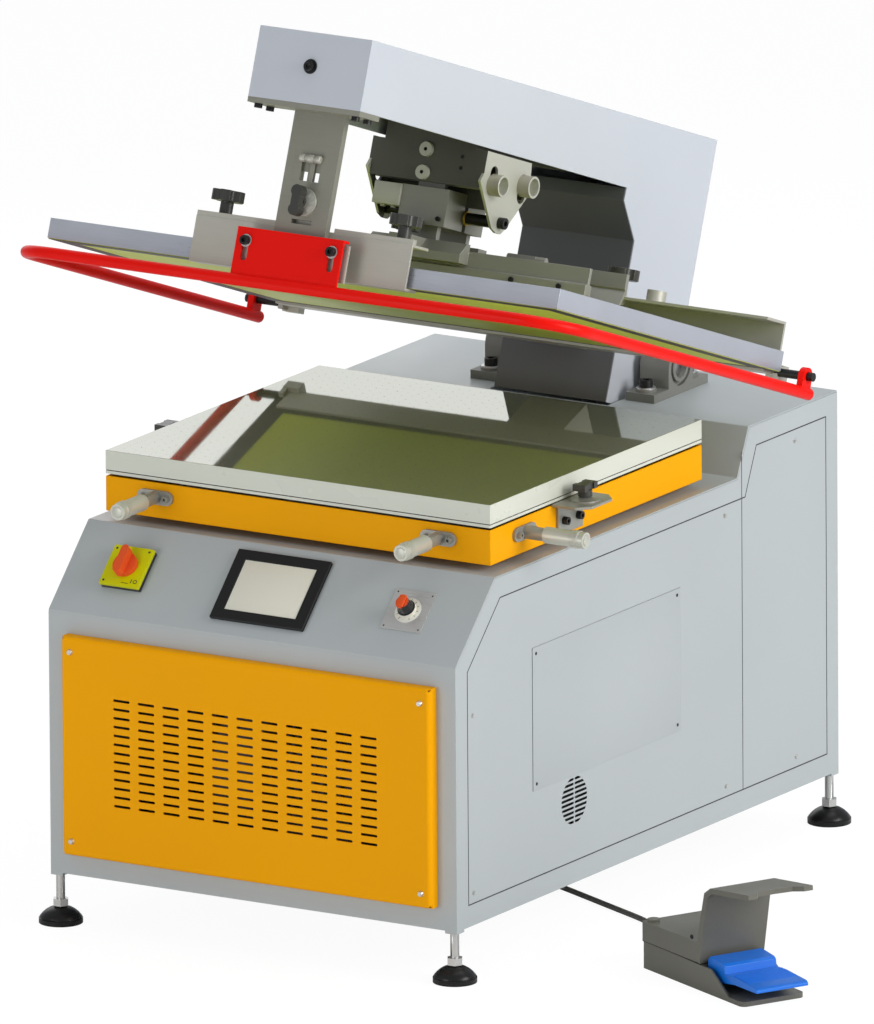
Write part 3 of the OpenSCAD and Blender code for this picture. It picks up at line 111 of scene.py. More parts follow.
class Groups:
    """The shader node groups that several finishes share, each built once."""

    made: dict[str, Tree] = {}

    @staticmethod
    def start(name: str, inputs: dict[str, tuple[str, object]], outputs: dict[str, str]) -> Tree:
        """Makes an empty group with named sockets.

        Args:
            name: The group's name.
            inputs: Socket name to its type and default value.
            outputs: Socket name to its type.

        Returns:
            The new node tree, with its input and output nodes in place.
        """
        tree = bpy.data.node_groups.new(name, "ShaderNodeTree")
        for label, (kind, value) in inputs.items():
            socket = tree.interface.new_socket(name=label, in_out="INPUT", socket_type=kind)
            if value is not None:
                socket.default_value = value
        for label, kind in outputs.items():
            tree.interface.new_socket(name=label, in_out="OUTPUT", socket_type=kind)
        tree.nodes.new("NodeGroupInput").name = "in"
        tree.nodes.new("NodeGroupOutput").name = "out"
        return tree

    @staticmethod
    def noise(tree: Tree, vector: Socket, scale: float, detail: float = 2.0) -> bpy.types.Node:
        """Adds a noise texture fed by a vector.

        Args:
            tree: The node tree.
            vector: Coordinates in metres.
            scale: Features per metre.
            detail: Octaves of finer noise.

        Returns:
            The noise node.
        """
        node = tree.nodes.new("ShaderNodeTexNoise")
        node.inputs["Scale"].default_value = scale
        node.inputs["Detail"].default_value = detail
        tree.links.new(vector, node.inputs["Vector"])
        return node

    @staticmethod
    def spread(tree: Tree, value: Socket, low: float, high: float) -> Socket:
        """Maps a 0 to 1 value onto a range.

        Args:
            tree: The node tree.
            value: The value to map.
            low: Result at 0.3 and less.
            high: Result at 0.7 and more.

        Returns:
            The mapped value's socket.
        """
        node = tree.nodes.new("ShaderNodeMapRange")
        node.inputs["From Min"].default_value = 0.3
        node.inputs["From Max"].default_value = 0.7
        node.inputs["To Min"].default_value = low
        node.inputs["To Max"].default_value = high
        tree.links.new(value, node.inputs["Value"])
        return node.outputs["Result"]

    @staticmethod
    def maths(tree: Tree, kind: str, *values: object) -> Socket:
        """Adds a maths node.

        Args:
            tree: The node tree.
            kind: The operation, in capitals.
            values: Sockets or numbers, in order.

        Returns:
            The result's socket.
        """
        node = tree.nodes.new("ShaderNodeMath")
        node.operation = kind
        for slot, value in zip(node.inputs, values):
            if isinstance(value, (int, float)):
                slot.default_value = value
            else:
                tree.links.new(value, slot)
        return node.outputs[0]

    @staticmethod
    def tint(tree: Tree, colour: Socket, value: Socket) -> Socket:
        """Multiplies a colour's brightness by a value.

        Args:
            tree: The node tree.
            colour: The colour.
            value: The factor.

        Returns:
            The tinted colour's socket.
        """
        node = tree.nodes.new("ShaderNodeHueSaturation")
        tree.links.new(value, node.inputs["Value"])
        tree.links.new(colour, node.inputs["Color"])
        return node.outputs["Color"]

    @classmethod
    def get(cls, name: str) -> Tree:
        """Gives a group by name, building it on first use.

        Args:
            name: The name of one of the groups below.

        Returns:
            The group's node tree.
        """
        if name not in cls.made:
            cls.made[name] = getattr(cls, name)()
        return cls.made[name]

    @classmethod
    def surface(cls) -> Tree:
        """Builds the general surface: tone drift, handling marks, grain and fine bumps.

        Returns:
            The group's node tree.
        """
        tree = cls.start(
            "surface",
            {
                "Vector": (VECTOR, None), "Colour": (COLOUR, None),
                "Roughness": (VALUE, 0.4), "Drift": (VALUE, 0.03),
                "Marks": (VALUE, 0.05), "Grain scale": (VALUE, 900.0),
            },
            {"Colour": COLOUR, "Roughness": VALUE, "Height": VALUE},
        )
        source, sink = tree.nodes["in"], tree.nodes["out"]
        vector = source.outputs["Vector"]
        cloud = cls.noise(tree, vector, 2.3, 3.0).outputs["Fac"]
        wipe = cls.noise(tree, vector, 9.0, 5.0).outputs["Fac"]
        grain = cls.noise(tree, vector, 900.0, 1.0)
        tree.links.new(source.outputs["Grain scale"], grain.inputs["Scale"])
        drift = cls.maths(tree, "MULTIPLY", cls.spread(tree, cloud, -1.0, 1.0), source.outputs["Drift"])
        fine = cls.spread(tree, grain.outputs["Fac"], -0.35, 0.35)
        speck = cls.maths(tree, "MULTIPLY", fine, source.outputs["Drift"])
        value = cls.maths(tree, "ADD", cls.maths(tree, "ADD", drift, speck), 1.0)
        tree.links.new(cls.tint(tree, source.outputs["Colour"], value), sink.inputs["Colour"])
        marks = cls.maths(tree, "MULTIPLY", cls.spread(tree, wipe, -1.0, 1.0), source.outputs["Marks"])
        tree.links.new(cls.maths(tree, "ADD", source.outputs["Roughness"], marks), sink.inputs["Roughness"])
        tree.links.new(grain.outputs["Fac"], sink.inputs["Height"])
        return tree

    @classmethod
    def brushed(cls) -> Tree:
        """Builds a brushed grain that runs along one axis.

        Returns:
            The group's node tree.
        """
        tree = cls.start(
            "brushed",
            {
                "Vector": (VECTOR, None), "Colour": (COLOUR, None),
                "Roughness": (VALUE, 0.35), "Stretch": (VECTOR, (20.0, 1400.0, 1400.0)),
            },
            {"Colour": COLOUR, "Roughness": VALUE, "Height": VALUE},
        )
        source, sink = tree.nodes["in"], tree.nodes["out"]
        scale = tree.nodes.new("ShaderNodeVectorMath")
        scale.operation = "MULTIPLY"
        tree.links.new(source.outputs["Vector"], scale.inputs[0])
        tree.links.new(source.outputs["Stretch"], scale.inputs[1])
        lines = cls.noise(tree, scale.outputs[0], 1.0, 2.0).outputs["Fac"]
        cloud = cls.noise(tree, source.outputs["Vector"], 6.0, 4.0).outputs["Fac"]
        value = cls.maths(tree, "ADD", cls.spread(tree, lines, 0.95, 1.02), cls.spread(tree, cloud, -0.03, 0.03))
        tree.links.new(cls.tint(tree, source.outputs["Colour"], value), sink.inputs["Colour"])
        rough = cls.maths(tree, "ADD", cls.spread(tree, lines, -0.05, 0.06), cls.spread(tree, cloud, -0.05, 0.05))
        tree.links.new(cls.maths(tree, "ADD", source.outputs["Roughness"], rough), sink.inputs["Roughness"])
        tree.links.new(lines, sink.inputs["Height"])
        return tree

    @classmethod
    def dots(cls) -> Tree:
        """Builds a square grid of small round holes as a mask.

        Returns:
            The group's node tree.
        """
        tree = cls.start(
            "dots",
            {"Vector": (VECTOR, None), "Pitch": (VALUE, 0.0225), "Radius": (VALUE, 0.0011)},
            {"Mask": VALUE},
        )
        source, sink = tree.nodes["in"], tree.nodes["out"]
        parts = tree.nodes.new("ShaderNodeSeparateXYZ")
        tree.links.new(source.outputs["Vector"], parts.inputs[0])
        squares = []
        for axis in ("X", "Y"):
            step = cls.maths(tree, "DIVIDE", parts.outputs[axis], source.outputs["Pitch"])
            away = cls.maths(tree, "SUBTRACT", step, cls.maths(tree, "ROUND", step))
            real = cls.maths(tree, "MULTIPLY", away, source.outputs["Pitch"])
            squares.append(cls.maths(tree, "POWER", cls.maths(tree, "ABSOLUTE", real), 2.0))
        reach = cls.maths(tree, "SQRT", cls.maths(tree, "ADD", *squares))
        tree.links.new(cls.maths(tree, "LESS_THAN", reach, source.outputs["Radius"]), sink.inputs["Mask"])
        return tree

    @classmethod
    def weave(cls) -> Tree:
        """Builds the fine square weave of a printing mesh.

        Returns:
            The group's node tree.
        """
        tree = cls.start(
            "weave",
            {"Vector": (VECTOR, None), "Threads": (VALUE, 1500.0)},
            {"Height": VALUE},
        )
        source, sink = tree.nodes["in"], tree.nodes["out"]
        parts = tree.nodes.new("ShaderNodeSeparateXYZ")
        tree.links.new(source.outputs["Vector"], parts.inputs[0])
        waves = [
            cls.maths(tree, "SINE", cls.maths(tree, "MULTIPLY", parts.outputs[axis], source.outputs["Threads"]))
            for axis in ("X", "Y")
        ]
        tree.links.new(cls.maths(tree, "MULTIPLY", *waves), sink.inputs["Height"])
        return tree


@dataclass(frozen=True)
class Finish:
    """One surface finish, which makes its own material."""

    name: str
    skin: Skin
    colour: Colour
    roughness: float
    metallic: float = 0.0
    coat: float = 0.0
    drift: float = 0.025
    marks: float = 0.05
    grain: float = 900.0
    bump: float = 0.04
    depth: float = 0.0002
    stretch: Point = (20.0, 1400.0, 1400.0)
    shine: float = 0.5

    def material(self) -> bpy.types.Material:
        """Gives the finish's material, making it on first use.

        Returns:
            The material.
        """
        known = bpy.data.materials.get(self.name)
        if known is not None and known.get("press_finish"):
            return known
        mat = bpy.data.materials.new(self.name)
        mat["press_finish"] = True
        mat.use_nodes = True
        mat.diffuse_color = (*self.colour, 1.0)
        tree = mat.node_tree
        shader = tree.nodes["Principled BSDF"]
        shader.inputs["Metallic"].default_value = self.metallic
        shader.inputs["Coat Weight"].default_value = self.coat
        shader.inputs["Coat Roughness"].default_value = 0.12
        shader.inputs["Specular IOR Level"].default_value = self.shine
        coords = tree.nodes.new("ShaderNodeTexCoord").outputs["Object"]
        rgb = tree.nodes.new("ShaderNodeRGB")
        rgb.outputs[0].default_value = (*self.colour, 1.0)
        group = tree.nodes.new("ShaderNodeGroup")
        group.node_tree = Groups.get("brushed" if self.skin is Skin.METAL else "surface")
        tree.links.new(coords, group.inputs["Vector"])
        tree.links.new(rgb.outputs[0], group.inputs["Colour"])
        group.inputs["Roughness"].default_value = self.roughness
        if self.skin is Skin.METAL:
            group.inputs["Stretch"].default_value = self.stretch
        else:
            group.inputs["Drift"].default_value = self.drift
            group.inputs["Marks"].default_value = self.marks
            group.inputs["Grain scale"].default_value = self.grain
        colour, rough, height = (group.outputs[label] for label in ("Colour", "Roughness", "Height"))
        if self.skin is Skin.PERFORATED:
            colour = self.perforate(tree, coords, colour)
        if self.skin is Skin.WEAVE:
            weave = tree.nodes.new("ShaderNodeGroup")
            weave.node_tree = Groups.get("weave")
            tree.links.new(coords, weave.inputs["Vector"])
            height = weave.outputs["Height"]
        tree.links.new(colour, shader.inputs["Base Color"])
        tree.links.new(rough, shader.inputs["Roughness"])
        if self.skin is Skin.PERFORATED:
            return mat
        bump = tree.nodes.new("ShaderNodeBump")
        bump.inputs["Strength"].default_value = self.bump
        bump.inputs["Distance"].default_value = self.depth
        tree.links.new(height, bump.inputs["Height"])
        tree.links.new(bump.outputs["Normal"], shader.inputs["Normal"])
        return mat

    @staticmethod
    def perforate(
        tree: Tree, coords: Socket, colour: Socket
    ) -> Socket:
        """Darkens a grid of fine air holes into a table top.

        Args:
            tree: The material's node tree.
            coords: Object coordinates.
            colour: The colour between the holes.

        Returns:
            The colour's socket.
        """
        centre = tree.nodes.new("ShaderNodeMapping")
        centre.inputs["Location"].default_value = (0.0, 0.138, 0.0)
        tree.links.new(coords, centre.inputs["Vector"])
        dots = tree.nodes.new("ShaderNodeGroup")
        dots.node_tree = Groups.get("dots")
        tree.links.new(centre.outputs[0], dots.inputs["Vector"])
        mix = tree.nodes.new("ShaderNodeMix")
        mix.data_type = "RGBA"
        tree.links.new(dots.outputs["Mask"], mix.inputs["Factor"])
        tree.links.new(colour, mix.inputs[6])
        mix.inputs[7].default_value = (0.03, 0.03, 0.025, 1.0)
        return mix.outputs[2]


def grey(name: str, level: float, rough: float, **more: object) -> Finish:
    """Makes a neutral painted finish.

    Args:
        name: The finish's name.
        level: Its grey level, linear.
        rough: Its roughness.
        more: Further fields of the finish.

    Returns:
        The finish.
    """
    return Finish(name, Skin.PAINT, (level, level, level), rough, **more)


class Finishes:
    """Every finish on the press."""

    cabinet = Finish("cabinet powder coat", Skin.PAINT, (0.445, 0.48, 0.485), 0.4, coat=0.12)
    hood = Finish("hood powder coat", Skin.PAINT, (0.59, 0.62, 0.67), 0.36, coat=0.15)
    yellow = Finish("yellow powder coat", Skin.PAINT, (0.93, 0.40, 0.0), 0.55, shine=0.08)
    column = Finish("dark column paint", Skin.PAINT, (0.115, 0.12, 0.125), 0.4)
    cream = Finish("cream anodised plate", Skin.METAL, (0.58, 0.58, 0.50), 0.42, metallic=0.35)
    warm = Finish("warm grey anodised", Skin.METAL, (0.36, 0.355, 0.315), 0.42, metallic=0.45)
    warm_dark = Finish("dark anodised", Skin.METAL, (0.13, 0.13, 0.115), 0.45, metallic=0.4)
    seam = grey("joint shadow", 0.03, 0.7)
    clamp = Finish("light clamp anodised", Skin.METAL, (0.52, 0.51, 0.44), 0.42, metallic=0.35)
    post = Finish("post anodised", Skin.METAL, (0.31, 0.305, 0.25), 0.42, metallic=0.4)
    taupe = Finish("taupe roller", Skin.METAL, (0.36, 0.34, 0.27), 0.42, metallic=0.2)
    brass = Finish("brass ring", Skin.METAL, (0.55, 0.36, 0.05), 0.35, metallic=0.7)
    olive = Finish("dark olive anodised", Skin.METAL, (0.105, 0.103, 0.085), 0.42, metallic=0.3)
    # Painted shade: the dark band on the mesh under the screen frame tube.
    frame_shade = grey("painted frame shade", 0.05, 0.5)
    steel = Finish("ground steel", Skin.METAL, (0.55, 0.55, 0.54), 0.3, metallic=0.9)
    shaft = Finish("turned steel", Skin.METAL, (0.6, 0.6, 0.6), 0.25, metallic=1.0, stretch=(1400.0, 60.0, 60.0))
    zinc = Finish("zinc plated steel", Skin.METAL, (0.62, 0.62, 0.6), 0.32, metallic=0.8)
    tube = Finish("screen frame tube", Skin.METAL, (0.52, 0.56, 0.62), 0.34, metallic=0.55)
    black_steel = grey("blackened screws", 0.025, 0.35, metallic=0.6, marks=0.08)
    casting = Finish("grey casting", Skin.CASTING, (0.2, 0.2, 0.18), 0.5, grain=420.0, bump=0.25, depth=0.0005)
    rubber = grey("black foot rubber", 0.010, 0.3, shine=0.3)
    knob = Finish("dark knob plastic", Skin.PLASTIC, (0.045, 0.045, 0.038), 0.33, grain=1500.0)
    black_plastic = grey("black plastic", 0.02, 0.3, grain=1600.0)
    bezel = grey("screen bezel", 0.010, 0.4, shine=0.3)
    display = Finish("pale display", Skin.PLASTIC, (0.8, 0.78, 0.66), 0.18, drift=0.01, bump=0.0)
    isolator = Finish("isolator yellow", Skin.PLASTIC, (0.62, 0.62, 0.0), 0.4, grain=1500.0, shine=0.15)
    red_plastic = Finish("orange red plastic", Skin.PLASTIC, (0.80, 0.10, 0.02), 0.4, grain=1500.0, shine=0.2)
    dial = Finish("dial plate", Skin.METAL, (0.6, 0.6, 0.58), 0.35, metallic=0.5)
    dial_face = Finish("cream dial face", Skin.PLASTIC, (0.78, 0.76, 0.66), 0.3)
    top = Finish("vacuum table face", Skin.PERFORATED, (0.36, 0.37, 0.31), 0.04, metallic=0.6, marks=0.01)
    table_edge = Finish("table edge", Skin.PAINT, (0.68, 0.70, 0.60), 0.3, coat=0.3)
    mesh = Finish("coated printing mesh", Skin.WEAVE, (0.58, 0.66, 0.06), 0.42, bump=0.3, depth=0.0003)
    red = Finish("signal red gloss", Skin.PAINT, (0.88, 0.005, 0.001), 0.38, shine=0.14)
    blade = Finish("squeegee rubber", Skin.PLASTIC, (0.3, 0.13, 0.02), 0.5)
    switch = Finish("hammered casting", Skin.CASTING, (0.135, 0.13, 0.105), 0.42, grain=260.0, bump=0.3, depth=0.0006)
    blue = Finish("blue pedal plastic", Skin.PLASTIC, (0.003, 0.165, 0.72), 0.38, grain=700.0)
    sheath = Finish("grey cord sheath", Skin.CORD, (0.1, 0.095, 0.085), 0.5, grain=1200.0)
    gland = grey("black nylon", 0.02, 0.45)
    blower = Finish("blower casting", Skin.CASTING, (0.3, 0.31, 0.32), 0.5, grain=500.0, bump=0.2)
    box = Finish("light box paint", Skin.PAINT, (0.6, 0.6, 0.57), 0.4)


class Shop:
    """The operators and modifiers that every sub-assembly's pieces are made with."""

    @staticmethod
    def clear() -> None:
        """Leaves edit mode and deselects everything."""
        if bpy.context.object is not None and bpy.context.object.mode != "OBJECT":
            bpy.ops.object.mode_set(mode="OBJECT")
        bpy.ops.object.select_all(action="DESELECT")

    @classmethod
    def pick(cls, piece: Piece) -> None:
        """Makes a piece the only one selected, and active."""
        cls.clear()
        piece.select_set(True)
        bpy.context.view_layer.objects.active = piece

    @classmethod
    def settle(cls, piece: Piece) -> Piece:
        """Applies a piece's place, turn and size to its mesh.

        Args:
            piece: The piece.

        Returns:
            The same piece.
        """
        cls.pick(piece)
        bpy.ops.object.transform_apply(location=True, rotation=True, scale=True)
        return piece

    @classmethod
    def bevel(cls, piece: Piece, width: float, segments: int = 2, angle: float = 35.0) -> Piece:
        """Rounds a piece's sharp edges and shades it smooth.

        Args:
            piece: The piece.
            width: The bevel's width in metres.
            segments: Its steps.
            angle: The sharpest edge that stays, in degrees.

        Returns:
            The same piece.
        """
        cls.pick(piece)
        mod = piece.modifiers.new("round", "BEVEL")
        mod.width = width
        mod.segments = segments
        mod.limit_method = "ANGLE"
        mod.angle_limit = math.radians(angle)
        mod.harden_normals = False
        bpy.ops.object.modifier_apply(modifier=mod.name)
        bpy.ops.object.shade_smooth_by_angle(angle=SMOOTH_BEVELLED)
        return piece

    @staticmethod
    def even(piece: Piece) -> Piece:
        """Keeps large faces flat beside rounded edges, with area-weighted normals."""
        mod = piece.modifiers.new("even", "WEIGHTED_NORMAL")
        mod.mode = "FACE_AREA_WITH_ANGLE"
        mod.keep_sharp = True
        bpy.ops.object.modifier_apply(modifier=mod.name)
        return piece

    @classmethod
    def renewed(cls, node: str, name: str, flat: float = 0.8) -> Piece:
        """Copies a CAD node and welds its triangles.

        Args:
            node: The CAD node.
            name: The new piece's name.
            flat: Angle under which neighbouring faces become one, in degrees, or 0 to keep them.

        Returns:
            The new piece, shaded smooth over its shallow edges.
        """
        source = frame["nodes"][node]
        piece = source.copy()
        piece.data = source.data.copy()
        piece.name = name
        piece.parent = None
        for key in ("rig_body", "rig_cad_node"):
            if key in piece:
                del piece[key]
        bpy.context.scene.collection.objects.link(piece)
        cls.pick(piece)
        bpy.ops.object.mode_set(mode="EDIT")
        bpy.ops.mesh.select_all(action="SELECT")
        bpy.ops.mesh.remove_doubles(threshold=WELD)
        if flat:
            bpy.ops.mesh.dissolve_limited(angle_limit=math.radians(flat))
        bpy.ops.object.mode_set(mode="OBJECT")
        bpy.ops.object.shade_smooth_by_angle(angle=SMOOTH)
        return piece

    @classmethod
    def rimmed(cls, node: str, name: str, width: float, keep: Callable[[Vector], bool]) -> Piece:
        """Copies a CAD node and rounds only the edges whose middle passes a test.

        Args:
            node: The CAD node.
            name: The new piece's name.
            width: The bevel's width in metres.
            keep: The test of an edge's middle.

        Returns:
            The new piece.
        """
        piece = cls.renewed(node, name, 0.0)
        data = bmesh.new()
        data.from_mesh(piece.data)
        layer = data.edges.layers.float.new("bevel_weight_edge")
        for edge in data.edges:
            middle = (edge.verts[0].co + edge.verts[1].co) / 2
            if len(edge.link_faces) == 2 and edge.calc_face_angle() > 1.0 and keep(middle):
                edge[layer] = 1.0
        data.to_mesh(piece.data)
        data.free()
        mod = piece.modifiers.new("rim", "BEVEL")
        mod.width = width
        mod.segments = 2
        mod.limit_method = "WEIGHT"
        bpy.ops.object.modifier_apply(modifier=mod.name)
        bpy.ops.mesh.customdata_custom_splitnormals_clear()
        bpy.ops.object.shade_flat()
        return piece

    @classmethod
    def screw(cls, name: str, width: float, height: float, socket: float = 0.5) -> Piece:
        """Makes a socket screw's head, standing on the origin.

        Args:
            name: The piece's name.
            width: The head's diameter.
            height: The head's height.
            socket: The socket's width as a share of the head's.

        Returns:
            The head.
        """
        cls.clear()
        middle = (0.0, 0.0, height / 2)
        bpy.ops.mesh.primitive_cylinder_add(vertices=40, radius=width / 2, depth=height, location=middle)
        head = cls.settle(bpy.context.object)
        head.name = name
        bpy.ops.mesh.primitive_cylinder_add(
            vertices=6, radius=width * socket / 1.8, depth=height, location=(0.0, 0.0, height * 0.95))
        return cls.bevel(cls.cut(head, cls.settle(bpy.context.object)), min(width * 0.05, 0.0007))

    @classmethod
    def block(cls, name: str, low: Sequence[float], high: Sequence[float], width: float = 0.0006) -> Piece:
        """Adds a box between two corners, with rounded edges.

        Args:
            name: The piece's name.
            low: Its lowest corner.
            high: Its highest corner.
            width: The bevel's width.

        Returns:
            The piece.
        """
        cls.clear()
        middle = [(a + b) / 2 for a, b in zip(low, high)]
        bpy.ops.mesh.primitive_cube_add(size=1.0, location=middle)
        piece = bpy.context.object
        piece.name = name
        piece.scale = [b - a for a, b in zip(low, high)]
        cls.settle(piece)
        return cls.bevel(piece, width) if width else piece

    @classmethod
    def turned(cls, name: str, outline: Sequence[tuple[float, float]], steps: int = 48) -> Piece:
        """Turns an outline of radius and height about Z with the spin operator.

        Args:
            name: The piece's name.
            outline: Points (radius, height), from the axis round to the axis.
            steps: Steps in the full turn.

        Returns:
            The closed piece, standing at the origin.
        """
        cls.clear()
        bpy.ops.mesh.primitive_plane_add(size=0.001)
        piece = bpy.context.object
        piece.name = name
        data = bmesh.new()
        points = [data.verts.new((r, 0.0, z)) for r, z in outline]
        for a, b in zip(points, points[1:]):
            data.edges.new((a, b))
        data.to_mesh(piece.data)
        data.free()
        bpy.ops.object.mode_set(mode="EDIT")
        bpy.ops.mesh.select_all(action="SELECT")
        bpy.ops.mesh.spin(steps=steps, angle=math.tau, center=(0.0, 0.0, 0.0), axis=(0.0, 0.0, 1.0))
        bpy.ops.mesh.select_all(action="SELECT")
        bpy.ops.mesh.remove_doubles(threshold=0.00001)
        bpy.ops.mesh.normals_make_consistent(inside=False)
        bpy.ops.object.mode_set(mode="OBJECT")
        bpy.ops.object.shade_smooth_by_angle(angle=SMOOTH)
        return piece

    @classmethod
    def place(cls, piece: Piece, matrix: Matrix) -> Piece:
        """Moves a piece by a matrix and applies it to the mesh.

        Args:
            piece: The piece.
            matrix: Where it goes, in the frame of the CAD.

        Returns:
            The same piece.
        """
        piece.matrix_world = matrix @ piece.matrix_world
        return cls.settle(piece)

    @classmethod
    def copy(cls, piece: Piece, name: str, matrix: Matrix) -> Piece:
        """Copies a piece with its own mesh and places the copy.

        Args:
            piece: The piece to copy.
            name: The copy's name.
            matrix: The copy's move from the first piece's place.

        Returns:
            The copy.
        """
        twin = piece.copy()
        twin.data = piece.data.copy()
        twin.name = name
        twin.parent = None
        bpy.context.scene.collection.objects.link(twin)
        return cls.place(twin, matrix)

    @classmethod
    def join(cls, name: str, pieces: Sequence[Piece]) -> Piece:
        """Joins pieces into one.

        Args:
            name: The joined piece's name.
            pieces: The pieces, the first of which stays.

        Returns:
            The joined piece.
        """
        cls.pick(pieces[0])
        for piece in pieces:
            piece.select_set(True)
        bpy.ops.object.join()
        pieces[0].name = name
        return pieces[0]

    @classmethod
    def cut(cls, piece: Piece, tool: Piece) -> Piece:
        """Cuts a piece with another and removes the tool.

        Args:
            piece: The piece.
            tool: The cutting piece, which is deleted.

        Returns:
            The same piece.
        """
        cls.pick(piece)
        mod = piece.modifiers.new("cut", "BOOLEAN")
        mod.object = tool
        mod.operation = "DIFFERENCE"
        mod.solver = "EXACT"
        bpy.ops.object.modifier_apply(modifier=mod.name)
        bpy.data.objects.remove(tool)
        return piece

    @staticmethod
    def coat(piece: Piece, finish: Finish, only: Callable[[Face], bool] | None = None) -> Piece:
        """Puts a finish on a piece, or on some of its faces.

        Args:
            piece: The piece.
            finish: The finish.
            only: A test of which faces take it; all do if it is left out.

        Returns:
            The same piece.
        """
        if only is None:
            piece.data.materials.clear()
            piece.data.materials.append(finish.material())
            for face in piece.data.polygons:
                face.material_index = 0
            return piece
        piece.data.materials.append(finish.material())
        index = len(piece.data.materials) - 1
        for face in piece.data.polygons:
            if only(face):
                face.material_index = index
        return piece

    @staticmethod
    def fit(piece: Piece, body: str, slot: str, *nodes: str) -> Piece:
        """Lets a piece ride on a body and stand for CAD nodes.

        Args:
            piece: The piece.
            body: The CAD body that carries it.
            slot: The record's material slot; not used.
            nodes: The CAD nodes that it replaces.

        Returns:
            The same piece.
        """
        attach(piece, body)
        if nodes:
            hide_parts(*nodes)
        log.info("%s rides on %s", piece.name, body)
        return piece

    @classmethod
    def stand(cls, piece: Piece, finish: Finish, node: str) -> Piece:
        """Coats a piece and lets it stand for one CAD node, on that node's body.

        Args:
            piece: The piece.
            finish: Its main finish.
            node: The CAD node.

        Returns:
            The same piece.
        """
        record = frame["record"]
        body = next(name for name, nodes in record["behaviour"]["bodies"].items() if node in nodes)
        slot = next(part["material_slot"] for part in record["subparts"] if part["node"] == node)
        return cls.fit(cls.coat(piece, finish), body, slot, node)

    @classmethod
    def soften(cls, node: str, name: str, finish: Finish, width: float = 0.0008, segments: int = 2) -> Piece:
        """Rounds, coats and fits a copy that stands for one CAD node.

        Args:
            node: The CAD node.
            name: The new piece's name.
            finish: Its main finish.
            width: The bevel's width in metres.
            segments: Its steps.

        Returns:
            The new piece.
        """
        piece = cls.even(cls.bevel(cls.renewed(node, name), width, segments))
        return cls.stand(piece, finish, node)

    @classmethod
    def add(cls, piece: Piece, finish: Finish, body: str, slot: str) -> Piece:
        """Coats a made piece and fits it to a body.

        Args:
            piece: The piece.
            finish: Its finish.
            body: The CAD body that carries it.
            slot: The record's material slot.

        Returns:
            The same piece.
        """
        return cls.fit(cls.coat(piece, finish), body, slot)

    @classmethod
    def outward(cls, piece: Piece) -> Piece:
        """Turns every face of a piece outward."""
        cls.pick(piece)
        bpy.ops.object.mode_set(mode="EDIT")
        bpy.ops.mesh.select_all(action="SELECT")
        bpy.ops.mesh.normals_make_consistent(inside=False)
        bpy.ops.object.mode_set(mode="OBJECT")
        return piece

    @staticmethod
    def dress(node: str, finish: Finish) -> None:
        """Gives a CAD node that stays a finish."""
        owner = frame["nodes"][node]
        if not owner.material_slots:
            owner.data.materials.append(finish.material())
        for slot in owner.material_slots:
            slot.material = finish.material()


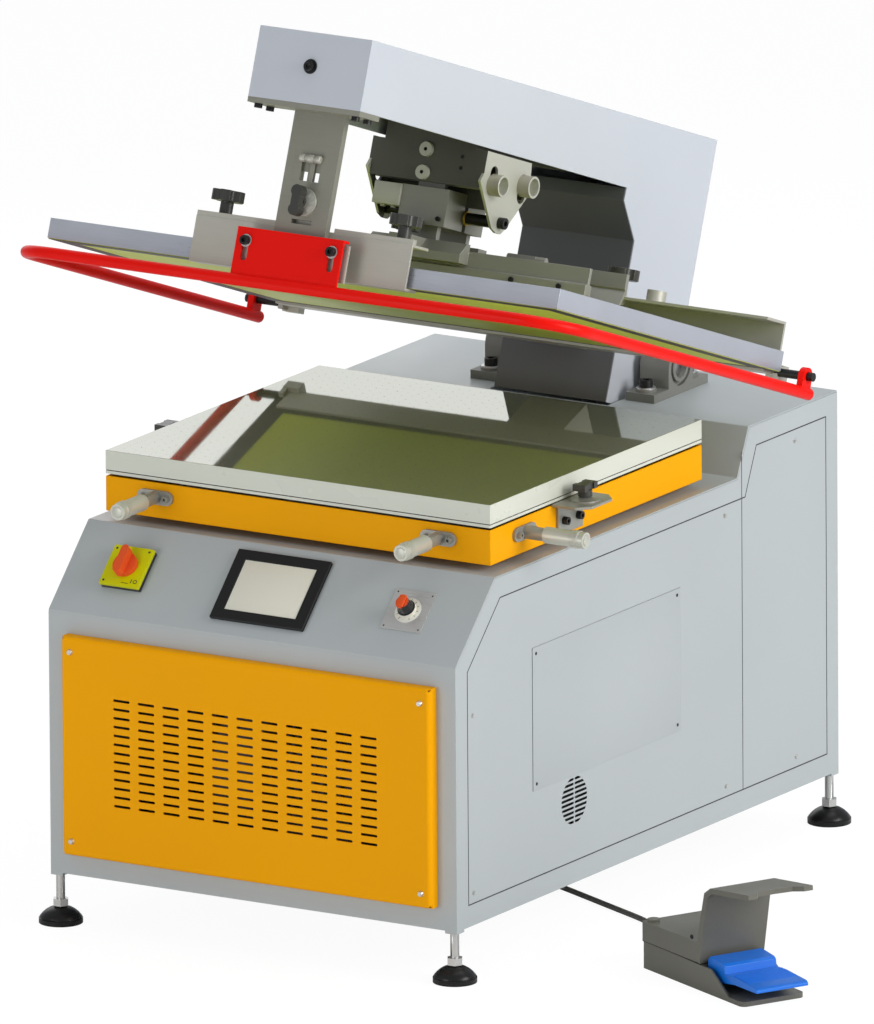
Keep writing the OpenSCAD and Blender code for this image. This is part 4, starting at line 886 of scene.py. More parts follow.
@dataclass
class Studio:
    """Camera, pale floor and soft light."""

    azimuth: float = 31.6
    elevation: float = 14.17
    roll: float = -0.379
    lens: float = 1300.0
    field: float = 1.8432
    aim: Point = (0.0453, -0.1, 0.698)

    def camera(self) -> None:
        """Adds the camera at the photograph's angle."""
        data = bpy.data.cameras.new("camera")
        data.lens = self.lens
        data.sensor_width = 36.0
        data.clip_start = 1.0
        data.clip_end = 300.0
        rig = bpy.data.objects.new("camera", data)
        bpy.context.scene.collection.objects.link(rig)
        turn = (
            spin(self.azimuth, "Z")
            @ spin(90.0 - self.elevation, "X")
            @ spin(self.roll, "Z")
        )
        away = self.lens / 36.0 * self.field
        rig.matrix_world = Matrix.Translation(self.aim) @ turn @ move(0.0, 0.0, away)
        bpy.context.scene.camera = rig

    def lamp(self, name: str, at: Point, look: Point, size: float, watts: float) -> None:
        """Adds one soft area lamp.

        Args:
            name: The lamp's name.
            at: Where it hangs.
            look: The point it faces.
            size: Its side in metres.
            watts: Its power.
        """
        data = bpy.data.lights.new(name, "AREA")
        data.size = size
        data.energy = watts
        rig = bpy.data.objects.new(name, data)
        rig.location = at
        rig.rotation_euler = (Vector(look) - Vector(at)).to_track_quat("-Z", "Y").to_euler()
        bpy.context.scene.collection.objects.link(rig)

    def floor(self) -> None:
        """Adds the floor, white to the camera and pale to the light."""
        Shop.clear()
        bpy.ops.mesh.primitive_plane_add(size=60.0, location=(0.0, 0.0, -0.0005))
        plane = bpy.context.object
        plane.name = "studio_floor"
        mat = bpy.data.materials.new("studio floor")
        mat.use_nodes = True
        tree = mat.node_tree
        shader = tree.nodes["Principled BSDF"]
        shader.inputs["Base Color"].default_value = (0.86, 0.86, 0.86, 1.0)
        shader.inputs["Roughness"].default_value = 0.9
        shader.inputs["Specular IOR Level"].default_value = 0.1
        glow = tree.nodes.new("ShaderNodeEmission")
        glow.inputs["Strength"].default_value = 1.05
        shade = tree.nodes.new("ShaderNodeMixShader")
        path = tree.nodes.new("ShaderNodeLightPath")
        share = Groups.maths(tree, "MULTIPLY", path.outputs["Is Camera Ray"], 0.9)
        tree.links.new(share, shade.inputs[0])
        tree.links.new(shader.outputs[0], shade.inputs[1])
        tree.links.new(glow.outputs[0], shade.inputs[2])
        tree.links.new(shade.outputs[0], tree.nodes["Material Output"].inputs["Surface"])
        plane.data.materials.append(mat)

    def sky(self) -> None:
        """Sets a plain pale world, white to the camera and to transmitted rays."""
        world = bpy.data.worlds.new("studio")
        bpy.context.scene.world = world
        world.use_nodes = True
        tree = world.node_tree
        soft = tree.nodes["Background"]
        soft.inputs["Color"].default_value = (0.93, 0.96, 1.0, 1.0)
        soft.inputs["Strength"].default_value = 0.42
        seen = tree.nodes.new("ShaderNodeBackground")
        seen.inputs["Color"].default_value = (1.0, 1.0, 1.0, 1.0)
        seen.inputs["Strength"].default_value = 1.0
        path = tree.nodes.new("ShaderNodeLightPath")
        clear = Groups.maths(tree, "MAXIMUM", path.outputs["Is Camera Ray"], path.outputs["Is Transmission Ray"])
        mix = tree.nodes.new("ShaderNodeMixShader")
        tree.links.new(clear, mix.inputs[0])
        tree.links.new(soft.outputs[0], mix.inputs[1])
        tree.links.new(seen.outputs[0], mix.inputs[2])
        tree.links.new(mix.outputs[0], tree.nodes["World Output"].inputs["Surface"])

    def build(self) -> None:
        """Sets up the whole studio."""
        bpy.context.scene.view_settings.view_transform = "Standard"
        self.camera()
        self.sky()
        self.floor()
        self.lamp("key", (5.2, -0.2, 2.6), (0.0, -0.1, 0.7), 3.0, 190.0)
        self.lamp("front", (-1.2, -4.8, 0.9), (0.0, -0.1, 0.4), 2.0, 48.0)
        self.lamp("top", (0.3, 0.8, 4.6), (0.0, 0.0, 0.7), 3.0, 45.0)
        self.lamp("rim", (-3.2, 2.6, 2.8), (0.0, 0.0, 0.9), 3.5, 45.0)


@dataclass
class SwitchLead:
    """The foot switch's lead, its coil under the cabinet and the tie round it."""

    diameter: float = 0.010
    floor_run: list[Point] = field(default_factory=lambda: [
        (688.3, -342.8, 14), (677.8, -337.6, 14), (662.2, -328.7, 12.5), (639.3, -311.6, 9),
        (617.9, -287.5, 6.3), (597.8, -256.2, 5.2), (579.5, -221.2, 5), (558.5, -187.3, 5),
        (532.6, -158.6, 5), (503.5, -136.3, 5), (470.4, -117.5, 5), (426.6, -95.5, 5),
        (377.4, -70.9, 5), (328.3, -46.2, 5), (279.1, -21.6, 5), (234.4, 0.8, 5), (196, 24, 5),
        (170, 50, 5), (154, 80, 5), (148.4, 104, 5), (148, 117.9, 5),
    ])
    tail_run: list[Point] = field(default_factory=lambda: [
        (28, 117.9, 15.6), (28, 104, 15.6), (28, 84, 15.8), (26, 60, 18.5), (20, 37, 28),
        (10, 19, 43), (2, 11, 58), (0, 10, 69), (0, 10, 80),
    ])
    coil: tuple[float, float, float, float, float, float] = (88, 130, 60, 11.2, 1.75, 10.6)

    def smooth(self, points: list[Point], parts: int) -> list[Vector]:
        """Runs a smooth curve through points.

        Args:
            points: The points, in millimetres.
            parts: Steps between two points.

        Returns:
            The curve's points, in millimetres.
        """
        out: list[Vector] = []
        p = [Vector(q) for q in points]
        last = len(p) - 1
        for i in range(last):
            a, b, c, d = p[max(i - 1, 0)], p[i], p[min(i + 1, last)], p[min(i + 2, last)]
            for j in range(parts):
                t = j / parts
                curve = (2 * a - 5 * b + 4 * c - d) * t * t + (3 * b - a - 3 * c + d) * t ** 3
                out.append(0.5 * (2 * b + (c - a) * t + curve))
        return [*out, p[last]]

    def winding(self) -> list[Vector]:
        """Winds the coil: in on the floor, a climb, and out above it.

        Returns:
            The coil's points, in millimetres.
        """
        x, y, outer, pitch, turns, rise = self.coil
        count = round(2 * turns * 24)
        out = []
        for i in range(count + 1):
            done = i / 24
            r = outer - pitch * min(done, turns) + pitch * max(done - turns, 0.0)
            climb = min(max((i - count / 2 + 6) / 12, 0.0), 1.0)
            a = math.tau * i / 24
            out.append(Vector((x + r * math.cos(a), y + r * math.sin(a), 5.0 + rise * climb)))
        return out

    def build(self) -> None:
        route = [*self.smooth(self.floor_run, 3), *self.winding(), *self.smooth(self.tail_run, 3)]
        points = [q * 0.001 for q in route]
        data = bpy.data.curves.new("switch_lead", "CURVE")
        data.dimensions = "3D"
        data.bevel_depth = self.diameter / 2
        data.bevel_resolution = 4
        data.use_fill_caps = True
        line = data.splines.new("POLY")
        line.points.add(len(points) - 1)
        for knot, q in zip(line.points, points):
            knot.co = (*q, 1.0)
        lead = bpy.data.objects.new("switch_lead", data)
        bpy.context.scene.collection.objects.link(lead)
        data.materials.append(Finishes.sheath.material())
        Shop.fit(lead, "cabinet", "cord_grey", "foot_switch_lead", "lead_coil")
        tie = self.tie()
        relief = self.relief()

    def tie(self) -> Piece:
        """Straps the coil's turns together on the side away from the camera.

        Returns:
            The tie.
        """
        Shop.clear()
        bpy.ops.mesh.primitive_torus_add(major_radius=0.016, minor_radius=0.0011, major_segments=32, minor_segments=8)
        tie = bpy.context.object
        tie.name = "coil_tie"
        tie.scale = (1.0, 0.58, 2.2)
        tie.rotation_euler = (math.radians(90.0), 0.0, math.radians(90.0))
        tie.location = (0.088, 0.1802, 0.0104)
        Shop.settle(tie)
        bpy.ops.object.shade_smooth()
        return Shop.add(tie, Finishes.gland, "cabinet", "gland_black")

    def relief(self) -> Piece:
        """Makes the tapered strain relief where the lead leaves the foot switch.

        Returns:
            The strain relief.
        """
        inner = self.diameter / 2 + 0.0001
        cone = Shop.turned("lead_relief", [
            (inner, -0.002), (0.0098, -0.002), (0.0098, 0.004), (0.0088, 0.006), (0.0088, 0.009), (0.0094, 0.011),
            (0.0084, 0.013), (0.0088, 0.017), (0.0078, 0.019), (0.0082, 0.023), (0.0072, 0.025), (0.0075, 0.029),
            (0.0064, 0.034), (inner, 0.0345), (inner, -0.002),
        ], 32)
        start, then = (Vector(q) * 0.001 for q in (self.floor_run[0], self.floor_run[1]))
        turn = (then - start).to_track_quat("Z", "Y").to_matrix().to_4x4()
        Shop.place(cone, Matrix.Translation(start) @ turn)
        return Shop.add(cone, Finishes.gland, "cabinet", "gland_black")


def on_head(x: float, y: float, z: float, turn: Matrix | None = None) -> Matrix:
    """Gives a place on the open head from its place on the closed one.

    Args:
        x: Distance to the right of the middle.
        y: Distance behind the shaft.
        z: Height above the shaft.
        turn: A turn at that place.

    Returns:
        The matrix in the frame of the CAD.
    """
    return HEAD @ move(x, y, z) @ (turn or Matrix())


def closed(face: Face) -> Vector:
    """Gives a face's middle as it lies on the closed head, from the shaft."""
    return UNTILT @ face.center


@dataclass
class Cabinet:
    """The sheet-metal cabinet, its feet, covers and bare side plate."""

    plate_low: Point = (0.4281, -0.401, 0.2955)
    plate_high: Point = (0.4291, 0.111, 0.5605)
    outline: tuple[tuple[float, float], ...] = (
        (-0.6635, 0.095), (-0.6635, 0.582), (-0.526, 0.719), (0.313, 0.719), (0.353, 0.807), (0.6635, 0.807),
        (0.6635, 0.095))
    split_y: float = 0.3275
    side_x: tuple[float, float] = (0.42802, 0.42815)
    deck_screw: Point = (0.1645, 0.503, 0.8282)

    def build(self) -> None:
        """Dresses the cabinet's nodes and adds the side plate."""
        for node, name, width in (
            ("cabinet_frame", "welded_frame", 0.0012), ("console_panel", "console_sheet", 0.0012),
            ("top_deck", "deck_sheet", 0.0014), ("side_panel_left", "left_panel", 0.0005),
            ("side_panel_right", "right_panel", 0.0005), ("rear_side_panels", "rear_panels", 0.0005),
            ("back_panel", "back_sheet", 0.0005),
        ):
            piece = Shop.soften(node, name, Finishes.cabinet, width)
            if node == "cabinet_frame":
                # The frame's strip behind the panel joints is painted near-black: painted shade seen through the
                # joints.
                Shop.coat(piece, Finishes.seam, self.behind_joint)
            elif node in ("side_panel_left", "side_panel_right", "rear_side_panels"):
                # The panels' edge faces are painted near-black: painted shade in the joints between the panels.
                Shop.coat(piece, Finishes.seam, lambda f: abs(f.normal.x) < 0.5)
        Shop.dress("base_plate", Finishes.cabinet)
        for node, name, finish in (
            ("cabinet_screws", "panel_screws", Finishes.black_steel),
            ("foot_pads", "levelling_pads", Finishes.rubber), ("foot_studs", "levelling_studs", Finishes.zinc),
            ("vacuum_blower", "side_blower", Finishes.blower), ("front_cover", "louvred_cover", Finishes.yellow),
        ):
            piece = Shop.stand(Shop.even(Shop.renewed(node, name)), finish, node)
            if node == "cabinet_screws":
                Shop.coat(piece, Finishes.zinc, lambda f: abs(f.center.y) > 0.66 or abs(f.center.x) > 0.4275)
        Shop.dress("lead_gland", Finishes.gland)
        Shop.dress("control_box", Finishes.box)
        self.side_plate()
        self.washers()
        self.joint_lines()

    def inset(self, away: float) -> list[Vector]:
        """Moves the side outline inward.

        Args:
            away: The distance in metres.

        Returns:
            The outline's corners as (y, z).
        """
        points = [Vector(p) for p in self.outline]
        moved = []
        for i, here in enumerate(points):
            into, out = (here - points[i - 1]).normalized(), (points[(i + 1) % len(points)] - here).normalized()
            left, right = Vector((into.y, -into.x)), Vector((out.y, -out.x))
            moved.append(here + (left + right) * away / (1.0 + left.dot(right)))
        return moved

    def joint_lines(self) -> None:
        """Runs a thin dark line of painted shade along the joints of the side panels."""
        Shop.clear()
        bpy.ops.mesh.primitive_plane_add(size=0.001)
        line = bpy.context.object
        data = bmesh.new()
        near, far = self.side_x
        rings = [[data.verts.new((near, p.x, p.y)) for p in self.inset(away)] for away in (0.0395, 0.0417)]
        for i in range(len(self.outline)):
            j = (i + 1) % len(self.outline)
            data.faces.new((rings[0][i], rings[0][j], rings[1][j], rings[1][i]))
        data.to_mesh(line.data)
        data.free()
        bpy.ops.object.mode_set(mode="EDIT")
        bpy.ops.mesh.select_all(action="SELECT")
        bpy.ops.mesh.extrude_region_move(TRANSFORM_OT_translate={"value": (0.00013, 0.0, 0.0)})
        bpy.ops.object.mode_set(mode="OBJECT")
        Shop.outward(line)
        low, high = (near, self.split_y - 0.001, 0.1367), (far, self.split_y + 0.001, 0.765)
        post = Shop.block("joint_post", low, high, 0.0)
        right = Shop.join("joint_lines", [line, post])
        left = Shop.copy(right, "joint_lines_left", spin(180.0, "Z") @ Matrix.Scale(-1.0, 4, (0.0, 1.0, 0.0)))
        Shop.outward(left)
        Shop.add(Shop.join("joint_lines", [right, left]), Finishes.seam, "cabinet", "gland_black")

    def behind_joint(self, face: Face) -> bool:
        """Tells whether a face of the frame is the strip behind the side panels' joints, which is painted dark as
        shade.
        """
        return abs(face.normal.x) > 0.9 and 0.42 < abs(face.center.x) < 0.4268

    def side_plate(self) -> None:
        """Adds the thin bare plate, with a painted shadow border on its edges, and its four small screws."""
        plate = Shop.block("side_plate", self.plate_low, self.plate_high, 0.0003)
        Shop.coat(plate, Finishes.cabinet)
        # The plate's edge faces take the joint shadow finish: a painted shadow border round the plate.
        Shop.coat(plate, Finishes.seam, lambda f: f.normal.x < 0.6)
        Shop.fit(plate, "cabinet", "cabinet_paint")
        screws = []
        margin = 0.012
        dome = [(0.0, 0.0012), (0.0018, 0.0011), (0.003, 0.0005), (0.0032, 0.0), (0.0, 0.0)]
        for y in (self.plate_low[1] + margin, self.plate_high[1] - margin):
            for z in (self.plate_low[2] + margin, self.plate_high[2] - margin):
                head = Shop.turned("plate_screw", dome, 20)
                turn = move(self.plate_high[0], y, z) @ spin(90.0, "Y")
                screws.append(Shop.place(head, turn))
        Shop.add(Shop.join("plate_screws", screws), Finishes.black_steel, "cabinet", "black_screws")

    def washers(self) -> None:
        """Lays washers round the pillow blocks' four screws."""
        x, y, z = self.deck_screw
        ring = Shop.turned("block_washer", [
            (0.0122, 0.0), (0.0178, 0.0), (0.0178, 0.0022), (0.0172, 0.0028), (0.0122, 0.0028), (0.0122, 0.0)])
        rings = [
            Shop.copy(ring, "block_washer", move(side * x, y + step, z))
            for side in (-1, 1) for step in (-0.072, 0.072)
        ]
        bpy.data.objects.remove(ring)
        Shop.add(Shop.join("block_washers", rings), Finishes.zinc, "cabinet", "black_screws")


@dataclass
class Console:
    """Isolator, touch screen and speed control on the slope."""

    middle: float = CONSOLE_LENGTH * 0.52
    isolator_x: float = -0.3
    speed_x: float = 0.287

    def at(self, x: float, out: float = 0.0) -> Matrix:
        """Gives the frame of a spot on the slope.

        Args:
            x: Distance from the middle of the console.
            out: Height above the sheet.

        Returns:
            A matrix with Z square to the sheet.
        """
        turn = Matrix.Translation(CREASE) @ Matrix.Rotation(SLOPE, 4, "X")
        return turn @ move(x, self.middle, out)

    def display(self) -> None:
        """Sets the pale glass into the bezel."""
        glass = Shop.block("display_glass", (-0.0745, -0.0525, 0.0), (0.0745, 0.0525, 0.0008), 0.0003)
        Shop.place(glass, self.at(0.0, 0.0061))
        Shop.add(glass, Finishes.display, "cabinet", "bezel_black")

    def dial(self) -> None:
        """Adds the cream dial face with eleven marks."""
        face = Shop.turned("dial_face", [(0.0, 0.0006), (0.0245, 0.0006), (0.0258, 0.0), (0.0, 0.0)], 64)
        Shop.place(face, self.at(self.speed_x, 0.0031))
        Shop.add(face, Finishes.dial_face, "cabinet", "dial_grey")
        marks = []
        for i in range(11):
            reach = 0.0232 if i % 5 == 0 else 0.0215
            mark = Shop.block("dial_mark", (-0.0004, 0.0185, 0.0), (0.0004, reach, 0.0002), 0.0)
            turn = self.at(self.speed_x, 0.0038) @ spin(150.0 - i * 30.0, "Z")
            marks.append(Shop.place(mark, turn))
        for x in (-0.036, 0.036):
            for y in (-0.036, 0.036):
                pin = Shop.turned("dial_rivet", [(0.0, 0.0009), (0.0012, 0.0007), (0.0018, 0.0), (0.0, 0.0)], 16)
                marks.append(Shop.place(pin, self.at(self.speed_x, 0.002) @ move(x, y, 0.0)))
        ring = Shop.join("dial_marks", marks)
        Shop.add(ring, Finishes.black_plastic, "cabinet", "knob_black")

    def switch_marks(self) -> None:
        """Adds the isolator's two position marks and the screws of its plate."""
        marks = [Shop.block("mark_on", (0.022, -0.034, 0.0), (0.0235, -0.026, 0.0003), 0.0),
                 Shop.block("mark_line", (0.004, -0.0355, 0.0), (0.018, -0.0345, 0.0003), 0.0)]
        ring = [(0.0028, 0.0), (0.004, 0.0), (0.004, 0.0003), (0.0028, 0.0003), (0.0028, 0.0)]
        zero = Shop.turned("mark_off", ring, 24)
        marks.append(Shop.place(zero, move(0.031, -0.03, 0.0)))
        for x, y in ((-0.034, 0.034), (0.034, 0.034), (-0.034, -0.034)):
            pin = Shop.turned("plate_pin", [(0.0, 0.0008), (0.0016, 0.0006), (0.0024, 0.0), (0.0, 0.0)], 16)
            marks.append(Shop.place(pin, move(x, y, 0.0)))
        both = Shop.place(Shop.join("isolator_marks", marks), self.at(self.isolator_x, 0.016))
        Shop.add(both, Finishes.black_plastic, "cabinet", "isolator_yellow")

    def build(self) -> None:
        """Dresses the console."""
        Shop.soften("touch_screen", "touch_bezel", Finishes.bezel, 0.0012)
        self.display()
        self.dial()
        self.switch_marks()
        Shop.soften("speed_plate", "speed_dial_plate", Finishes.dial, 0.0006)
        out = self.at(0.0).inverted()
        knob = Shop.soften("speed_knob", "speed_knob_body", Finishes.black_plastic, 0.001, 3)
        Shop.coat(knob, Finishes.red_plastic, lambda f: (out @ f.center).z > 0.0318)
        Shop.coat(knob, Finishes.dial_face, lambda f: (out @ f.center).z < 0.0112)
        base = Shop.soften("isolator_base", "isolator_plate", Finishes.isolator, 0.001)
        Shop.coat(base, Finishes.black_plastic, lambda f: (out @ f.center).z < 0.0079)
        shoe = Shop.block("isolator_shoe", (-0.0408, -0.0408, 0.0002), (0.0408, 0.0408, 0.0083), 0.0006)
        Shop.add(Shop.place(shoe, self.at(self.isolator_x)), Finishes.black_plastic, "cabinet", "isolator_yellow")
        cap = Shop.block("speed_cap", (-0.0072, -0.0125, 0.0), (0.0072, 0.0125, 0.0042), 0.0018)
        Shop.place(cap, self.at(self.speed_x, 0.0325))
        Shop.add(cap, Finishes.red_plastic, "speed_knob", "knob_black")
        Shop.soften("isolator_handle", "isolator_grip", Finishes.red_plastic, 0.0018, 3)


@dataclass
class VacuumTable:
    """Tray, table top, micrometers and side clamps."""

    face_z: float = 0.844
    skin: float = 0.0092
    half_w: float = 0.405
    front: float = -0.5035
    depth: float = 0.731
    micrometer_x: float = 0.298
    micrometer_z: float = 0.771
    side_y: float = -0.3915

    def rim(self, middle: Vector) -> bool:
        """Tells whether an edge runs round the outside of the table top."""
        sides = abs(abs(middle.x) - self.half_w) < 0.0002
        ends = min(abs(middle.y - self.front), abs(middle.y - self.front - self.depth)) < 0.0002
        return sides or ends

    def in_hole(self, face: Face) -> bool:
        """Tells whether a face belongs to one of the top's air holes."""
        at = face.center
        inside = abs(at.x) < self.half_w - 0.003 and self.front + 0.003 < at.y < self.front + self.depth - 0.003
        wall = abs(face.normal.z) < 0.5 or at.z < self.face_z - self.skin / 2
        return inside and at.z > self.face_z - self.skin and wall

    def at(self, which: str) -> Matrix:
        """Gives a micrometer's frame, with Z pointing out of the tray.

        Args:
            which: left, right or side.

        Returns:
            The matrix.
        """
        if which == "side":
            return move(self.half_w, self.side_y, self.micrometer_z) @ spin(90.0, "Y")
        x = self.micrometer_x if which == "right" else -self.micrometer_x
        return move(x, self.front, self.micrometer_z) @ spin(90.0, "X")

    def knurl(self, which: str) -> None:
        """Adds a micrometer's knurled grip band and its end cap.

        Args:
            which: left, right or side.
        """
        Shop.clear()
        bpy.ops.mesh.primitive_cylinder_add(vertices=56, radius=0.0161, depth=0.0132)
        band = bpy.context.object
        band.name = f"thimble_grip_{which}"
        bpy.ops.object.mode_set(mode="EDIT")
        bpy.ops.mesh.select_all(action="DESELECT")
        bpy.ops.object.mode_set(mode="OBJECT")
        for face in band.data.polygons:
            side = abs(face.normal.z) < 0.5
            face.select = side and round(math.atan2(face.normal.y, face.normal.x) / math.tau * 56 + 28.25) % 2 == 0
        bpy.ops.object.mode_set(mode="EDIT")
        bpy.ops.mesh.inset(thickness=0.0002, depth=0.0005, use_individual=True)
        bpy.ops.object.mode_set(mode="OBJECT")
        Shop.place(band, self.at(which) @ move(0.0, 0.0, 0.113))
        domed = [(0.0, 0.0022), (0.0085, 0.0022), (0.0098, 0.0016), (0.0105, 0.0), (0.0, 0.0)]
        cap = Shop.turned("thimble_cap", domed)
        Shop.place(cap, self.at(which) @ move(0.0, 0.0, 0.1319))
        Shop.add(Shop.join(band.name, [band, cap]), Finishes.cream, f"micrometer_{which}", "warm_aluminium")

    def scale(self, which: str) -> Piece:
        """Engraves a micrometer's sleeve with a reference line and graduations.

        Args:
            which: left, right or side.

        Returns:
            The marks.
        """
        marks = [Shop.block("scale_line", (-0.0002, 0.0119, 0.012), (0.0002, 0.01212, 0.047), 0.0)]
        for i in range(8):
            reach = 0.0042 if i % 2 == 0 else 0.0026
            low, high = (0.0, 0.0113, 0.0125 + i * 0.0045), (reach, 0.01195, 0.0128 + i * 0.0045)
            marks.append(Shop.block("scale_mark", low, high, 0.0))
        face = Shop.join("scale", marks)
        turn = spin(70.0 if which == "side" else -20.0, "Z")
        return Shop.place(face, self.at(which) @ turn)

    def build(self) -> None:
        """Dresses the table."""
        Shop.soften("table_tray", "yellow_tray", Finishes.yellow, 0.0015)
        Shop.dress("cross_slide", Finishes.steel)
        Shop.dress("turn_plate", Finishes.steel)
        top = Shop.rimmed("vacuum_table", "table_top", 0.0012, self.rim)
        Shop.stand(top, Finishes.table_edge, "vacuum_table")
        Shop.coat(top, Finishes.top, lambda f: f.center.z > self.face_z - self.skin and abs(f.normal.z) > 0.9)
        Shop.coat(top, Finishes.black_plastic, lambda f: 0.0355 < self.face_z - f.center.z < 0.0372)
        Shop.coat(top, Finishes.black_plastic, self.in_hole)
        Shop.soften("micrometer_sleeves", "micrometer_barrels", Finishes.warm, 0.0006)
        for side in ("left", "right", "side"):
            node = f"micrometer_{side}"
            Shop.soften(node, f"thimble_{side}", Finishes.cream, 0.001)
            self.knurl(side)
        scales = Shop.join("micrometer_scales", [self.scale(side) for side in ("left", "right", "side")])
        Shop.add(scales, Finishes.black_plastic, "cabinet", "warm_aluminium")
        Shop.soften("table_clamps", "side_clamps", Finishes.warm, 0.001)
        for side in ("left", "right"):
            node = f"table_knob_{side}"
            Shop.soften(node, f"wing_knob_{side}", Finishes.knob, 0.002, 3)


@dataclass
class HeadLift:
    """Pillow blocks, shaft, lift cylinder and rod."""

    def build(self) -> None:
        """Dresses the lifting gear."""
        Shop.soften("pillow_blocks", "shaft_blocks", Finishes.casting, 0.0025, 3)
        Shop.soften("head_shaft", "tilt_shaft", Finishes.shaft, 0.001)
        Shop.soften("lift_cylinder", "lift_barrel", Finishes.steel, 0.001)
        Shop.soften("lift_rod", "lift_fork", Finishes.steel, 0.001)


@dataclass
class Head:
    """Hood, column front, guide rods and post."""

    front: float = -1.144
    screw_z: float = 0.364
    post_front: float = -1.082

    def build(self) -> None:
        """Dresses the head."""
        Shop.soften("hood", "beam_hood", Finishes.hood, 0.0018, 3)
        Shop.soften("column_front", "column_plate", Finishes.column, 0.001)
        Shop.soften("beam_rails", "guide_rods", Finishes.warm_dark, 0.0008)
        Shop.soften("drive_cylinder", "carriage_drive", Finishes.steel, 0.0008)
        post = Shop.soften("post", "front_post", Finishes.post, 0.001)
        Shop.coat(post, Finishes.black_steel, lambda f: closed(f).z < 0.2869 and abs(f.center.x) > 0.09)
        knob = Shop.soften("post_knob", "post_lock_knob", Finishes.cream, 0.0015, 3)
        Shop.coat(knob, Finishes.knob, lambda f: closed(f).y < self.post_front - 0.0105)
        self.front_screw()
        self.height_screw()

    def height_screw(self) -> None:
        """Narrows the post's window and adds the cross handle of the height screw before it."""
        cheeks = [
            Shop.block("cheek", (-0.0365, -1.0818, 0.1635), (-0.020, -1.0672, 0.2215), 0.0),
            Shop.block("cheek", (0.020, -1.0818, 0.1635), (0.0365, -1.0672, 0.2215), 0.0),
            Shop.block("cheek", (-0.0205, -1.0818, 0.206), (0.0205, -1.0672, 0.2215), 0.0),
            Shop.block("cheek", (-0.0205, -1.0745, 0.1815), (0.0205, -1.0672, 0.2065), 0.0),
        ]
        Shop.add(Shop.place(Shop.join("window_cheeks", cheeks), HEAD), Finishes.post, "head", "warm_aluminium")
        Shop.clear()
        bpy.ops.mesh.primitive_cylinder_add(vertices=40, radius=0.0074, depth=0.043, rotation=(0.0, math.pi / 2, 0.0))
        handle = Shop.settle(bpy.context.object)
        handle.name = "height_handle"
        Shop.bevel(handle, 0.0022, 3)
        wedge = [(0.0058, -0.0012), (0.011, -0.002), (0.011, 0.002), (0.0058, 0.0012), (0.0058, -0.0012)]
        for x in (-0.009, 0.009):
            groove = Shop.turned("groove", wedge, 40)
            Shop.cut(handle, Shop.place(groove, move(x, 0.0, 0.0) @ spin(90.0, "Y")))
        stem = Shop.turned("stem", [(0.0, -0.03), (0.006, -0.03), (0.006, 0.0), (0.0, 0.0)], 32)
        Shop.place(stem, move(0.0, 0.013, 0.0))
        both = Shop.place(Shop.join("height_handle", [handle, stem]), on_head(0.0, -1.0875, 0.2045))
        Shop.add(both, Finishes.clamp, "head", "warm_aluminium")

    def front_screw(self) -> None:
        """Adds the beam's end screw and its washer."""
        rim = [(0.0, 0.0), (0.0135, 0.0), (0.0135, 0.0012), (0.0128, 0.0018), (0.0, 0.0018)]
        washer = Shop.turned("end_washer", rim)
        head = Shop.place(Shop.screw("end_screw", 0.019, 0.008), move(0.0, 0.0, 0.0017))
        both = Shop.join("beam_end_screw", [washer, head])
        Shop.place(both, on_head(0.0, self.front - 0.0001, self.screw_z, spin(90.0, "X")))
        Shop.add(both, Finishes.black_steel, "head", "machined_steel")


@dataclass
class ScreenClamps:
    """Clamps, screen frame, mesh, safety bar and clamp knobs."""

    stop_front: float = -1.0985

    def build(self) -> None:
        """Dresses what holds the screen."""
        for node, name, finish in (
            ("front_clamp", "front_channel", Finishes.clamp), ("rear_clamp", "rear_channel", Finishes.clamp),
            ("stop_bracket", "stop_plate", Finishes.clamp), ("screen_frame", "screen_tube_frame", Finishes.tube),
        ):
            piece = Shop.soften(node, name, finish, 0.0009)
            if node == "stop_bracket":
                Shop.coat(piece, Finishes.black_steel, lambda f: closed(f).y < self.stop_front - 0.0005)
            if node == "rear_clamp":
                Shop.coat(piece, Finishes.black_steel, lambda f: abs(f.center.x) > 0.5285)
        Shop.stand(Shop.renewed("screen_mesh", "printing_mesh"), Finishes.mesh, "screen_mesh")
        Shop.soften("safety_bar", "red_safety_bar", Finishes.red, 0.0012)
        for corner in ("fl", "fr", "rl", "rr"):
            node = f"clamp_knob_{corner}"
            Shop.soften(node, f"lobed_knob_{corner}", Finishes.knob, 0.0022, 3)
        self.frame_shade_line()
        self.stop_washers()

    def stop_washers(self) -> None:
        """Adds the bright collars round the heads of the stop screws."""
        rings = []
        for x in (-0.09, 0.09):
            ring = Shop.turned("stop_collar", [
                (0.0091, 0.0), (0.0115, 0.0), (0.0115, 0.0007), (0.011, 0.0011), (0.0091, 0.0011), (0.0091, 0.0)])
            rings.append(Shop.place(ring, on_head(x, -1.11035, 0.042, spin(90.0, "X"))))
        Shop.add(Shop.join("stop_collars", rings), Finishes.zinc, "screen_carrier", "warm_aluminium")

    def frame_shade_line(self) -> None:
        """Runs a dark band of painted shade round the mesh's edge, under the frame tube."""
        frame_shade = Shop.block("frame_shade_band", (-0.5345, -1.0505, -0.0004), (0.5345, -0.2325, 0.0002), 0.0)
        inner = Shop.block("frame_shade_inside", (-0.4945, -1.0105, -0.01), (0.4945, -0.2725, 0.01), 0.0)
        Shop.place(Shop.cut(frame_shade, inner), HEAD)
        # The band is painted shade under the frame tube.
        Shop.add(frame_shade, Finishes.frame_shade, "screen_carrier", "mesh_green")


